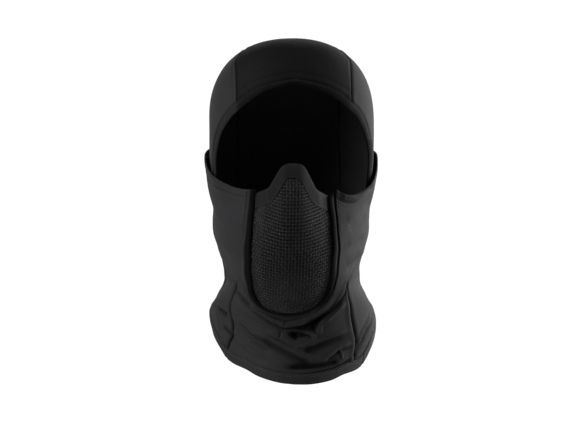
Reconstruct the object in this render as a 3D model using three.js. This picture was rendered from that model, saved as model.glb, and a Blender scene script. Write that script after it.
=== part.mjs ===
// Stretch balaclava hood with a domed wire mask sewn over the nose and mouth.
//
// Millimetres, +Z up. The face looks along -Y, so the wearer's left is at +X. The origin is
// the point inside the crown where the top of the head touches.
//
// The hood is two layers of cloth. The inner one covers the head and runs down in front of
// the ears as two straps. The outer one, the cover, starts at the ears and the mask, goes
// over the straps, and ends in a collar. Each layer is a skin: a stack of oval sections.
// Every panel is a patch of its skin between seams, given the thickness of the cloth.

import * as THREE from 'three';

// ------------------------------------------------------------------ driving sizes

const clothWall = 1.2;
const hemWall = 2.2;
const meshWall = 2;
const bindingWall = 2.2;
const seamGap = 0.3;

const faceHemWidth = { brow: 4, temple: 8 };
const cheekHemWidth = 7;
const collarHemWidth = 10;
const crownSeamX = 54.5;
const crownSeamIn = 10.5;

// A girth coordinate turns an angle round the head into a length, so that edges drawn on
// a skin have nearly the same scale both ways.
const girthPerDegree = 1.4;

// ------------------------------------------------------------------ section tables

// Inner layer: half width and the depths in front of and behind the origin. Above
// hoodDome.centreZ the sections shrink into a dome.
const hoodRows = [
  { z: -75, halfWidth: 77.4, front: 95, back: 101 },
  { z: -95, halfWidth: 77, front: 96, back: 100.5 },
  { z: -115, halfWidth: 76.2, front: 97, back: 96.5 },
  { z: -135, halfWidth: 74.2, front: 97, back: 89 },
  { z: -155, halfWidth: 70.5, front: 96, back: 81 },
  { z: -175, halfWidth: 66, front: 94, back: 76 },
];
const hoodDome = { centreZ: -75, height: 75.6 };

// Outer layer, from above the ears down over the jaw and the neck to the collar.
const coverRows = [
  { z: -95, halfWidth: 81, front: 100, back: 103.2 },
  { z: -108, halfWidth: 81.8, front: 101, back: 101 },
  { z: -118, halfWidth: 81.2, front: 102, back: 98.1 },
  { z: -130, halfWidth: 80.2, front: 103, back: 93.6 },
  { z: -140, halfWidth: 79, front: 104, back: 89.4 },
  { z: -150, halfWidth: 76.7, front: 104, back: 85 },
  { z: -160, halfWidth: 73.8, front: 106.5, back: 81.5 },
  { z: -172, halfWidth: 73.2, front: 111, back: 77 },
  { z: -185, halfWidth: 72, front: 118, back: 73 },
  { z: -198, halfWidth: 69, front: 123, back: 70 },
  { z: -210, halfWidth: 65, front: 124, back: 68 },
  { z: -222, halfWidth: 63.6, front: 118, back: 66.5 },
  { z: -232, halfWidth: 64.2, front: 106, back: 67 },
  { z: -243, halfWidth: 70, front: 94, back: 71 },
  { z: -253, halfWidth: 76, front: 89, back: 76.5 },
  { z: -263, halfWidth: 77.8, front: 87.5, back: 82 },
  { z: -278, halfWidth: 78, front: 86, back: 86 },
  { z: -300, halfWidth: 77, front: 86, back: 89 },
  { z: -330, halfWidth: 74, front: 90, back: 90 },
];

// Mask: the depth of its ridge, the half width of the flat on the ridge, how far the sides
// take to turn away from it, and how steeply they then fall back.
const maskRows = [
  { z: -116, ridge: 112, flat: 4.5, turn: 6, slope: 1.2 },
  { z: -133, ridge: 119, flat: 5, turn: 6, slope: 1.2 },
  { z: -150, ridge: 125, flat: 5, turn: 7, slope: 1.2 },
  { z: -165, ridge: 128, flat: 5, turn: 9, slope: 1.2 },
  { z: -180, ridge: 129, flat: 5, turn: 14, slope: 1.2 },
  { z: -195, ridge: 128, flat: 4, turn: 24, slope: 1.2 },
  { z: -210, ridge: 123, flat: 3, turn: 30, slope: 1.2 },
  { z: -225, ridge: 114, flat: 2, turn: 34, slope: 1.25 },
  { z: -240, ridge: 103, flat: 1, turn: 36, slope: 1.3 },
  { z: -252, ridge: 93, flat: 1, turn: 36, slope: 1.35 },
  { z: -272, ridge: 76, flat: 1, turn: 36, slope: 1.4 },
];

// Folds of the neck, as seen from in front: ridges lift and valleys sink.
const foldRows = [
  { fromX: -4, fromZ: -281, toX: 27, toZ: -274, width: 5, lift: -3 },
  { fromX: 27, fromZ: -274, toX: 50, toZ: -252, width: 5, lift: -2.5 },
  { fromX: 6, fromZ: -293, toX: 50, toZ: -283, width: 6, lift: -2.5 },
  { fromX: -38, fromZ: -279, toX: 16, toZ: -300, width: 6, lift: 2.5 },
  { fromX: -52, fromZ: -264, toX: -24, toZ: -296, width: 6, lift: 2 },
  { fromX: -8, fromZ: -309, toX: 43, toZ: -307, width: 6, lift: -2 },
];

// ------------------------------------------------------------------ edge tables

// Edge of the face opening, from the middle of the brow down to the foot of the strap.
const faceEdgeRows = [
  { angle: 0, z: -42.5 },
  { angle: 7.5, z: -44.8 },
  { angle: 18.5, z: -50 },
  { angle: 28, z: -57 },
  { angle: 40, z: -67.5 },
  { angle: 46.5, z: -73 },
  { angle: 54, z: -81 },
  { angle: 61, z: -90 },
  { angle: 67, z: -100 },
  { angle: 72, z: -112 },
  { angle: 75, z: -128 },
  { angle: 76, z: -148 },
  { angle: 76, z: -168 },
];

// Top edge of a cheek panel, from the mask past the ear to the middle of the back.
const cheekTopRight = [
  { angle: 34, z: -142.8 },
  { angle: 38.3, z: -142.5 },
  { angle: 46.7, z: -140.3 },
  { angle: 55, z: -136.8 },
  { angle: 65.5, z: -132 },
  { angle: 77, z: -125 },
  { angle: 87, z: -116 },
  { angle: 97, z: -108.5 },
  { angle: 115, z: -103 },
  { angle: 140, z: -100 },
  { angle: 165, z: -98.5 },
  { angle: 180, z: -98 },
];
const cheekTopLeft = [
  { angle: 30.5, z: -143.4 },
  { angle: 38, z: -147.2 },
  { angle: 46, z: -148 },
  { angle: 55.5, z: -144.4 },
  { angle: 65.5, z: -138.8 },
  { angle: 76, z: -131.6 },
  { angle: 86, z: -119.5 },
  { angle: 96, z: -109.5 },
  { angle: 115, z: -103 },
  { angle: 140, z: -100 },
  { angle: 165, z: -98.5 },
  { angle: 180, z: -98 },
];

// The U of the mask opening, half of it, from its top corner to the middle of the chin.
const maskOpeningRows = [
  { innerX: 36, innerZ: -143, outerX: 42, outerZ: -142.8 },
  { innerX: 37.6, innerZ: -162, outerX: 43.6, outerZ: -162 },
  { innerX: 39.6, innerZ: -185, outerX: 45.6, outerZ: -185 },
  { innerX: 40.2, innerZ: -205, outerX: 46.2, outerZ: -205 },
  { innerX: 39.6, innerZ: -223, outerX: 45.2, outerZ: -223 },
  { innerX: 36.8, innerZ: -238, outerX: 42.7, outerZ: -236 },
  { innerX: 31.5, innerZ: -248, outerX: 37.8, outerZ: -245.5 },
  { innerX: 21.7, innerZ: -256, outerX: 30.7, outerZ: -253.8 },
  { innerX: 10.5, innerZ: -259.4, outerX: 21, outerZ: -260.5 },
  { innerX: 4, innerZ: -260.3, outerX: 9.5, outerZ: -265 },
  { innerX: 0, innerZ: -260.4, outerX: 0, outerZ: -267 },
];

// The mask and the chin of the cover are pulled towards the wearer's right, more the
// lower they are.
const chinTwistRows = [
  { z: -116, shift: -1.5 },
  { z: -130, shift: -2.4 },
  { z: -150, shift: -2.6 },
  { z: -190, shift: -3.4 },
  { z: -223, shift: -3.9 },
  { z: -240, shift: -4.2 },
  { z: -250, shift: -5 },
  { z: -260, shift: -6.3 },
  { z: -275, shift: -8 },
];

// Seam under the chin cover, from the top of a neck seam to the middle, one row each side.
const chinSeamRight = [
  { x: -54, z: -231 },
  { x: -51.5, z: -242 },
  { x: -44, z: -251.5 },
  { x: -33.5, z: -260 },
  { x: -22, z: -267.5 },
  { x: -10.5, z: -274 },
];
const chinSeamLeft = [
  { x: 50.5, z: -230 },
  { x: 47.5, z: -239 },
  { x: 41.5, z: -250 },
  { x: 32, z: -260 },
  { x: 21.5, z: -266 },
  { x: 6.5, z: -271 },
  { x: -10.5, z: -274 },
];

// Seams down the front of the neck, from the collar hem up to the chin cover.
const neckSeamRight = [
  { angle: 54, z: -293.5 },
  { angle: 52.4, z: -288 },
  { angle: 50.6, z: -283.6 },
  { angle: 48, z: -277.6 },
  { angle: 48.2, z: -266.5 },
  { angle: 50.4, z: -257 },
  { angle: 53.6, z: -244 },
  { angle: 57, z: -230 },
];
const neckSeamLeft = [
  { angle: 47, z: -304.5 },
  { angle: 47.4, z: -295 },
  { angle: 48, z: -285.5 },
  { angle: 45.2, z: -272.8 },
  { angle: 43.8, z: -260 },
  { angle: 46.5, z: -244 },
  { angle: 52, z: -230 },
];

// Seam between the cheek panel and the neck panel, from the chin cover to the back.
const jawSeamRight = [
  { angle: 57, z: -230 },
  { angle: 63, z: -228.4 },
  { angle: 70, z: -225.4 },
  { angle: 78, z: -220.6 },
  { angle: 86, z: -214.5 },
  { angle: 95, z: -206 },
  { angle: 110, z: -188.5 },
  { angle: 130, z: -167 },
  { angle: 155, z: -150 },
  { angle: 180, z: -145 },
];
const jawSeamLeft = [
  { angle: 52, z: -230 },
  { angle: 57, z: -225.6 },
  { angle: 62, z: -221.2 },
  { angle: 71, z: -215.4 },
  { angle: 81, z: -209.5 },
  { angle: 92, z: -201.5 },
  { angle: 108, z: -185 },
  { angle: 130, z: -164.5 },
  { angle: 155, z: -149.5 },
  { angle: 180, z: -145 },
];

// Lower edge of the collar: lowest in front, up over the shoulders, and down at the nape.
const collarRows = [
  { angle: 0, z: -326.6 },
  { angle: 12, z: -325.6 },
  { angle: 27, z: -321 },
  { angle: 37.5, z: -315 },
  { angle: 49.5, z: -310 },
  { angle: 57, z: -304.5 },
  { angle: 65, z: -294.5 },
  { angle: 75, z: -283 },
  { angle: 84, z: -272 },
  { angle: 96, z: -263 },
  { angle: 112, z: -261 },
  { angle: 132, z: -268 },
  { angle: 156, z: -283 },
  { angle: 172, z: -289 },
  { angle: 180, z: -290 },
];
// How far it hangs lower towards the wearer's left in front, and higher towards the right.
const collarTilt = 4.2;

// Rim of the mask, half of it, from the nose round the side to the chin. The binding lies
// between the inner and the outer edge, and the wire ends at the inner one.
const maskRimRows = [
  { innerX: 0, innerZ: -133.2, outerX: 0, outerZ: -118.3 },
  { innerX: 5, innerZ: -133.9, outerX: 6, outerZ: -119 },
  { innerX: 8.6, innerZ: -138.5, outerX: 10.5, outerZ: -121.8 },
  { innerX: 12.3, innerZ: -145.5, outerX: 15, outerZ: -129 },
  { innerX: 16, innerZ: -152, outerX: 18.3, outerZ: -135 },
  { innerX: 20.5, innerZ: -157, outerX: 22.5, outerZ: -142 },
  { innerX: 29, innerZ: -160.8, outerX: 31.5, outerZ: -146.6 },
  { innerX: 38.5, innerZ: -165, outerX: 44, outerZ: -152.5 },
  { innerX: 43, innerZ: -181, outerX: 49.5, outerZ: -171 },
  { innerX: 43.5, innerZ: -200, outerX: 50.5, outerZ: -200 },
  { innerX: 42.4, innerZ: -217, outerX: 49, outerZ: -220 },
  { innerX: 38, innerZ: -233, outerX: 44.5, outerZ: -239 },
  { innerX: 29, innerZ: -250, outerX: 33, outerZ: -257 },
  { innerX: 15, innerZ: -259, outerX: 17, outerZ: -267 },
  { innerX: 0, innerZ: -261.5, outerX: 0, outerZ: -270 },
];
const rimSideStart = 7;
const rimSideEnd = 11;
// Its top hangs lower towards the wearer's left.
const maskTilt = 0.04;

// How far the mask lies inside the cover, under the hem and at its outer rim, and how far
// inside the opening it swells into its own free form.
const maskInset = { inner: 4.6, outer: 3.7, start: 1.5, swell: 13 };

// ------------------------------------------------------------------ colours

const looks = {
  cloth: { color: 0x17171a, roughness: 0.72, metalness: 0 },
  hem: { color: 0x141417, roughness: 0.78, metalness: 0 },
  wire: { color: 0x1b1b1d, roughness: 0.5, metalness: 0.6 },
  tape: { color: 0x18181b, roughness: 0.85, metalness: 0 },
};

// ------------------------------------------------------------------ reading tables

// Returns a function that reads every column of a table as a smooth curve over its key.
function smoothTable(rows, key) {
  const names = Object.keys(rows[0]).filter((name) => name !== key);
  const last = rows.length - 1;
  const slope = (name, i) => {
    const before = rows[Math.max(i - 1, 0)];
    const after = rows[Math.min(i + 1, last)];
    return (after[name] - before[name]) / (after[key] - before[key]);
  };
  return (at) => {
    const down = Math.sign(rows[last][key] - rows[0][key]);
    let i = 0;
    while (i < last - 1 && (at - rows[i + 1][key]) * down > 0) i += 1;
    const span = rows[i + 1][key] - rows[i][key];
    const t = THREE.MathUtils.clamp((at - rows[i][key]) / span, 0, 1);
    const result = {};
    for (const name of names) {
      const from = rows[i][name];
      const to = rows[i + 1][name];
      const bend = (1 - t) * slope(name, i) * span - t * slope(name, i + 1) * span;
      const lean = (1 - 2 * t) * (from - to);
      result[name] = (1 - t) * from + t * to + t * (1 - t) * (bend + lean);
    }
    return result;
  };
}

// ------------------------------------------------------------------ skins

// A skin knows its oval section at every height, and can place, drop and face a point.
function makeSkin(rows, frontPower, backPower, dome) {
  const read = smoothTable(rows, 'z');
  const rise = (z) => (dome ? Math.max(z - dome.centreZ, 0) / dome.height : 0);

  // How far out a point is: 1 on the skin, less inside it.
  const reach = (p) => {
    const section = read(p.z);
    const power = p.y < 0 ? frontPower : backPower;
    const depth = p.y < 0 ? section.front : section.back;
    const across = (Math.abs(p.x) / section.halfWidth) ** power;
    const along = (Math.abs(p.y) / depth) ** power;
    return (across + along + rise(p.z) ** power) ** (1 / power);
  };

  const place = (angle, z) => {
    const section = read(z);
    const ahead = Math.cos(THREE.MathUtils.degToRad(angle));
    const aside = Math.sin(THREE.MathUtils.degToRad(angle));
    const power = ahead > 0 ? frontPower : backPower;
    const shrink = (1 - Math.min(rise(z), 1) ** power) ** (1 / power);
    const x = section.halfWidth * Math.sign(aside) * Math.abs(aside) ** (2 / power);
    const depth = ahead > 0 ? -section.front : section.back;
    const y = depth * Math.abs(ahead) ** (2 / power);
    return new THREE.Vector3(x * shrink, y * shrink, z);
  };

  // Moves a point out from the middle of the skin until it lies on it.
  const drop = (p) => {
    const middle = dome ? Math.min(p.z, dome.centreZ) : p.z;
    const out = 1 / reach(p);
    return new THREE.Vector3(p.x * out, p.y * out, middle + (p.z - middle) * out);
  };

  const facing = (p) => {
    const step = 0.4;
    const slopeAlong = (axis) => {
      const more = p.clone();
      const less = p.clone();
      more[axis] += step;
      less[axis] -= step;
      return reach(more) - reach(less);
    };
    return new THREE.Vector3(slopeAlong('x'), slopeAlong('y'), slopeAlong('z')).normalize();
  };

  return { read, frontPower, place, drop, facing };
}

// The head is squarer behind than an ellipse, and the cover's cheeks are plain ellipses.
const hood = makeSkin(hoodRows, 2.3, 2.3, hoodDome);
const cover = makeSkin(coverRows, 2, 2.3, null);
const readMask = smoothTable(maskRows, 'z');
const readTwist = smoothTable(chinTwistRows, 'z');

// Distance from (x, z) to the straight line between two points of the front view.
function distanceToLine(x, z, fromX, fromZ, toX, toZ) {
  const alongX = toX - fromX;
  const alongZ = toZ - fromZ;
  const share = ((x - fromX) * alongX + (z - fromZ) * alongZ) / (alongX ** 2 + alongZ ** 2);
  const t = THREE.MathUtils.clamp(share, 0, 1);
  return Math.hypot(x - fromX - t * alongX, z - fromZ - t * alongZ);
}

// How much the folds lift or sink the front of the cover at a point.
function foldLift(p) {
  if (p.y > 0) return 0;
  let lift = 0;
  for (const fold of foldRows) {
    const away = distanceToLine(p.x, p.z, fold.fromX, fold.fromZ, fold.toX, fold.toZ);
    lift += fold.lift * Math.exp(-((away / fold.width) ** 2));
  }
  return lift;
}

// ------------------------------------------------------------------ edges

// An edge is a list of points, evenly spaced along a smooth curve.
function evenEdge(points, count) {
  const curve = new THREE.CatmullRomCurve3(points, false, 'centripetal');
  curve.arcLengthDivisions = 400;
  return curve.getSpacedPoints(count);
}

const straightEdge = (from, to, count) => (
  Array.from({ length: count + 1 }, (unused, i) => from.clone().lerp(to, i / count))
);

// Where a drawn edge that runs downwards passes a height.
function pointAtHeight(edge, height) {
  const i = edge.findIndex((p) => p.y < height);
  const share = (edge[i - 1].y - height) / (edge[i - 1].y - edge[i].y);
  return edge[i - 1].clone().lerp(edge[i], share);
}

const joinEdges = (...edges) => edges.flatMap((edge, i) => (i === 0 ? edge : edge.slice(1)));

// A point drawn on the cover: its girth coordinate, its height, and nothing in z.
const onCover = (angle, z) => new THREE.Vector3(angle * girthPerDegree, z, 0);

// The same point for an x of the front view.
function onCoverFront(x, z) {
  const across = Math.min(Math.abs(x) / cover.read(z).halfWidth, 1);
  const angle = THREE.MathUtils.radToDeg(Math.asin(across ** (cover.frontPower / 2)));
  return onCover(Math.sign(x) * angle, z);
}

const coverPoint = (drawn) => {
  const flat = cover.place(drawn.x / girthPerDegree, drawn.y);
  const normal = cover.facing(flat);
  return { point: flat.clone().addScaledVector(normal, foldLift(flat)), normal };
};

const hoodPoint = (p) => {
  const point = hood.drop(p);
  return { point, normal: hood.facing(point) };
};

// Moves every point of an edge sideways by a width, in the plane that it is drawn in.
function offsetDrawnEdge(edge, width) {
  return edge.map((p, i) => {
    const before = edge[Math.max(i - 1, 0)];
    const after = edge[Math.min(i + 1, edge.length - 1)];
    const along = after.clone().sub(before).normalize();
    return new THREE.Vector3(p.x - along.y * width, p.y + along.x * width, 0);
  });
}

// The same over the hood, where an edge is a list of points in space. The face hem rolls
// under at the middle of the brow, so it is narrower there.
function offsetHoodEdge(edge, widths) {
  return edge.map((p, i) => {
    const before = edge[Math.max(i - 1, 0)];
    const after = edge[Math.min(i + 1, edge.length - 1)];
    const along = after.clone().sub(before).normalize();
    const sideways = new THREE.Vector3().crossVectors(hood.facing(p), along).normalize();
    const share = THREE.MathUtils.smoothstep(Math.abs(p.x), 5, 45);
    const width = THREE.MathUtils.lerp(widths.brow, widths.temple, share);
    return hood.drop(p.clone().addScaledVector(sideways, width));
  });
}

// ------------------------------------------------------------------ patches and walls

// Fills four edges with a grid of points blended from all of them. low and high run from
// start to end, and start and end run from low to high.
function fillEdges({ low, high, start, end }) {
  return low.map((lowPoint, i) => {
    const s = i / (low.length - 1);
    return start.map((startPoint, j) => {
      const t = j / (start.length - 1);
      return new THREE.Vector3()
        .addScaledVector(lowPoint, 1 - t)
        .addScaledVector(high[i], t)
        .addScaledVector(startPoint, 1 - s)
        .addScaledVector(end[j], s)
        .addScaledVector(low[0], -(1 - s) * (1 - t))
        .addScaledVector(low[low.length - 1], -s * (1 - t))
        .addScaledVector(high[0], -(1 - s) * t)
        .addScaledVector(high[high.length - 1], -s * t);
    });
  });
}

// A band between two edges, one or more cells wide.
function fillBand(inner, outer, cells) {
  return inner.map((from, i) => {
    const step = (unused, j) => from.clone().lerp(outer[i], j / cells);
    return Array.from({ length: cells + 1 }, step);
  });
}

// Draws a rim point in over the skin, square to the rim, by half the gap. The point behind
// it tells which way is in.
function pullIn(rim, behind, before, after) {
  const along = after.point.clone().sub(before.point);
  const inward = new THREE.Vector3().crossVectors(rim.normal, along).normalize();
  const way = Math.sign(behind.point.clone().sub(rim.point).dot(inward));
  return inward.multiplyScalar((way * seamGap) / 2);
}

// Leaves half a seam gap round the edge of a grid of placed points.
function openSeams(grid, ring) {
  const columns = grid.length;
  const rows = grid[0].length;
  const at = (i, j) => grid[ring ? (i + columns) % columns : i][j];
  const clampColumn = (i) => (ring ? i : THREE.MathUtils.clamp(i, 0, columns - 1));
  const clampRow = (j) => THREE.MathUtils.clamp(j, 0, rows - 1);
  return grid.map((column, i) => column.map((rim, j) => {
    const point = rim.point.clone();
    if (j === 0 || j === rows - 1) {
      const behind = at(i, j === 0 ? 1 : rows - 2);
      point.add(pullIn(rim, behind, at(clampColumn(i - 1), j), at(clampColumn(i + 1), j)));
    }
    if (!ring && (i === 0 || i === columns - 1)) {
      const behind = at(i === 0 ? 1 : columns - 2, j);
      point.add(pullIn(rim, behind, at(i, clampRow(j - 1)), at(i, clampRow(j + 1))));
    }
    return { point, normal: rim.normal };
  }));
}

// Gives a grid of placed points its thickness, half to each side, as one closed body.
function wallOf(name, placed, thickness, look, ring = false) {
  const grid = openSeams(placed, ring);
  const columns = grid.length;
  const rows = grid[0].length;
  const positions = [];
  for (const side of [1, -1]) {
    for (const column of grid) {
      for (const { point, normal } of column) {
        const p = point.clone().addScaledVector(normal, (side * thickness) / 2);
        positions.push(p.x, p.y, p.z);
      }
    }
  }
  const outside = (i, j) => (i % columns) * rows + j;
  const inside = (i, j) => columns * rows + outside(i, j);
  const faces = [];
  const quad = (a, b, c, d) => faces.push(a, b, c, a, c, d);
  const cellColumns = ring ? columns : columns - 1;
  for (let i = 0; i < cellColumns; i += 1) {
    for (let j = 0; j < rows - 1; j += 1) {
      quad(outside(i, j), outside(i + 1, j), outside(i + 1, j + 1), outside(i, j + 1));
      quad(inside(i, j), inside(i, j + 1), inside(i + 1, j + 1), inside(i + 1, j));
    }
    quad(outside(i + 1, 0), outside(i, 0), inside(i, 0), inside(i + 1, 0));
    quad(outside(i, rows - 1), outside(i + 1, rows - 1), inside(i + 1, rows - 1), inside(i, rows - 1));
  }
  if (!ring) {
    const end = columns - 1;
    for (let j = 0; j < rows - 1; j += 1) {
      quad(outside(0, j), outside(0, j + 1), inside(0, j + 1), inside(0, j));
      quad(outside(end, j + 1), outside(end, j), inside(end, j), inside(end, j + 1));
    }
  }
  const geometry = new THREE.BufferGeometry();
  geometry.setAttribute('position', new THREE.Float32BufferAttribute(positions, 3));
  geometry.setIndex(enclosedVolume(positions, faces) > 0 ? faces : faces.reverse());
  geometry.computeVertexNormals();
  const mesh = new THREE.Mesh(geometry, new THREE.MeshStandardMaterial(look));
  mesh.name = name;
  return mesh;
}

// Positive where the faces of a closed body point out.
function enclosedVolume(positions, faces) {
  const corner = (i) => new THREE.Vector3().fromArray(positions, faces[i] * 3);
  let volume = 0;
  for (let i = 0; i < faces.length; i += 3) {
    volume += corner(i).dot(corner(i + 1).cross(corner(i + 2))) / 6;
  }
  return volume;
}

const placeGrid = (grid, place) => grid.map((column) => column.map(place));

// ------------------------------------------------------------------ cells of the patches

const cells = {
  brow: 12,
  templeEdge: 10,
  crownSide: 11,
  cheekTop: 14,
  maskOpening: 16,
  jawSeam: 21,
  chinSeam: 9,
  backSeam: 8,
  neckSeam: 7,
  maskNose: 9,
  maskSide: 12,
};

// ------------------------------------------------------------------ hood layer

// Half of the face opening's edge, from the brow down, on one side of the face.
function faceEdge(side) {
  return faceEdgeRows.map((row) => hood.place(side * row.angle, row.z));
}

// Where the inner layer ends, hidden inside the cover.
const hoodFoot = { backZ: -136, strapAngle: 100, strapZ: -158 };

// How far the crown seam is from the middle: less over the top of the head.
function seamX(y, z) {
  const turn = THREE.MathUtils.radToDeg(Math.atan2(y, z - hoodDome.centreZ));
  const rise = THREE.MathUtils.smoothstep(turn, -38, 0);
  const fall = THREE.MathUtils.smoothstep(turn, 10, 80);
  return crownSeamX - crownSeamIn * (rise - 0.5 * fall);
}

// The point of the hood with the crown seam's x, in the direction of y and z from the middle.
function seamPoint(side, y, z) {
  const x = side * seamX(y, z);
  let p = new THREE.Vector3(x, y, z);
  const rounds = 14;
  for (let i = 0; i < rounds; i += 1) {
    p = hood.drop(new THREE.Vector3(x, p.y, p.z));
  }
  return p;
}

// The crown seam starts at the face hem, nears the middle over the top, goes over
// the crown, and drops down the nape.
const seamCells = cells.crownSide + cells.templeEdge;

function crownSeam(side, front) {
  const far = 100;
  const startTurn = Math.atan2(-front.y, front.z - hoodDome.centreZ);
  const overCrown = [front];
  const steps = 10;
  for (let i = 1; i <= steps; i += 1) {
    const turn = THREE.MathUtils.lerp(-startTurn, Math.PI / 2, i / steps);
    const y = Math.sin(turn) * far;
    overCrown.push(seamPoint(side, y, hoodDome.centreZ + Math.cos(turn) * far));
  }
  const downNape = [overCrown[steps]];
  for (let i = 1; i <= 4; i += 1) {
    const z = THREE.MathUtils.lerp(hoodDome.centreZ, hoodFoot.backZ, i / 4);
    downNape.push(seamPoint(side, far, z));
  }
  return joinEdges(evenEdge(overCrown, cells.crownSide), evenEdge(downNape, cells.templeEdge));
}

function buildHood() {
  // The edge of the opening and the hem's stitch line, split where the crown seams meet it.
  const half = faceEdge(1);
  const mirrored = faceEdge(-1);
  const whole = evenEdge([...mirrored.slice(1).reverse(), ...half], 240);
  const stitched = offsetHoodEdge(whole, faceHemWidth);
  const seamAt = stitched.findIndex((p) => p.x > -crownSeamX && p.z > -90);
  const cut = (edge, from, to, count) => evenEdge(edge.slice(from, to + 1), count);
  const parts = [
    { from: 0, to: seamAt, count: cells.templeEdge },
    { from: seamAt, to: 240 - seamAt, count: cells.brow },
    { from: 240 - seamAt, to: 240, count: cells.templeEdge },
  ];
  const outerParts = parts.map(({ from, to, count }) => cut(whole, from, to, count));
  const innerParts = parts.map(({ from, to, count }) => cut(stitched, from, to, count));

  const seams = [-1, 1].map((side) => {
    const front = side < 0 ? innerParts[1][0] : innerParts[1][cells.brow];
    return crownSeam(side, front);
  });
  const napeEdge = (from, to) => {
    const points = [0, 0.25, 0.5, 0.75, 1].map((t) => hood.drop(from.clone().lerp(to, t)));
    return evenEdge(points, cells.brow);
  };
  const crown = fillEdges({
    low: seams[0],
    high: seams[1],
    start: innerParts[1],
    end: napeEdge(seams[0][seamCells], seams[1][seamCells]),
  });
  const pieces = [
    wallOf('crown_panel', placeGrid(crown, hoodPoint), clothWall, looks.cloth),
    wallOf(
      'face_opening_hem',
      placeGrid(fillBand(joinEdges(...innerParts), joinEdges(...outerParts), 1), hoodPoint),
      hemWall,
      looks.hem,
    ),
  ];
  for (const side of [-1, 1]) {
    const seam = side < 0 ? seams[0] : seams[1];
    const temple = side < 0 ? innerParts[0] : [...innerParts[2]].reverse();
    const nape = seam[seamCells];
    const foot = temple[0];
    const napeAngle = 155;
    const footPoints = [
      foot,
      hood.place(side * hoodFoot.strapAngle, hoodFoot.strapZ),
      hood.place(side * (hoodFoot.strapAngle + napeAngle) / 2, (hoodFoot.strapZ + nape.z) / 2),
      nape,
    ];
    // The nape end of the crown seam is the panel's fourth side.
    const overCrown = seam.slice(0, cells.crownSide + 1);
    const downNape = seam.slice(cells.crownSide).reverse();
    const panel = fillEdges({
      low: evenEdge(footPoints, cells.crownSide),
      high: overCrown,
      start: temple,
      end: downNape,
    });
    const name = side < 0 ? 'hood_side_right' : 'hood_side_left';
    pieces.push(wallOf(name, placeGrid(panel, hoodPoint), clothWall, looks.cloth));
  }
  return pieces;
}

// ------------------------------------------------------------------ cover layer

const drawnEdge = (rows, side, count) => evenEdge(
  rows.map((row) => onCover(side * row.angle, row.z)),
  count,
);

function frontEdge(rows, count) {
  return evenEdge(rows.map((row) => onCoverFront(row.x, row.z)), count);
}

// One side of the mask opening, its inner or its outer edge, with the chin's twist in it.
function maskOpeningEdge(side, which, count) {
  const rows = maskOpeningRows.map((row) => {
    const z = row[`${which}Z`];
    return { x: side * row[`${which}X`] + readTwist(z).shift, z };
  });
  return frontEdge(rows, count);
}

// Lower edge of the collar at an angle round the neck.
const readCollar = smoothTable(collarRows, 'angle');
function collarZ(angle) {
  const fade = 1 - THREE.MathUtils.smoothstep(Math.abs(angle), 50, 85);
  const tilt = collarTilt * Math.sin(THREE.MathUtils.degToRad(angle)) * fade;
  return readCollar(Math.abs(angle)).z - tilt;
}

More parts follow.
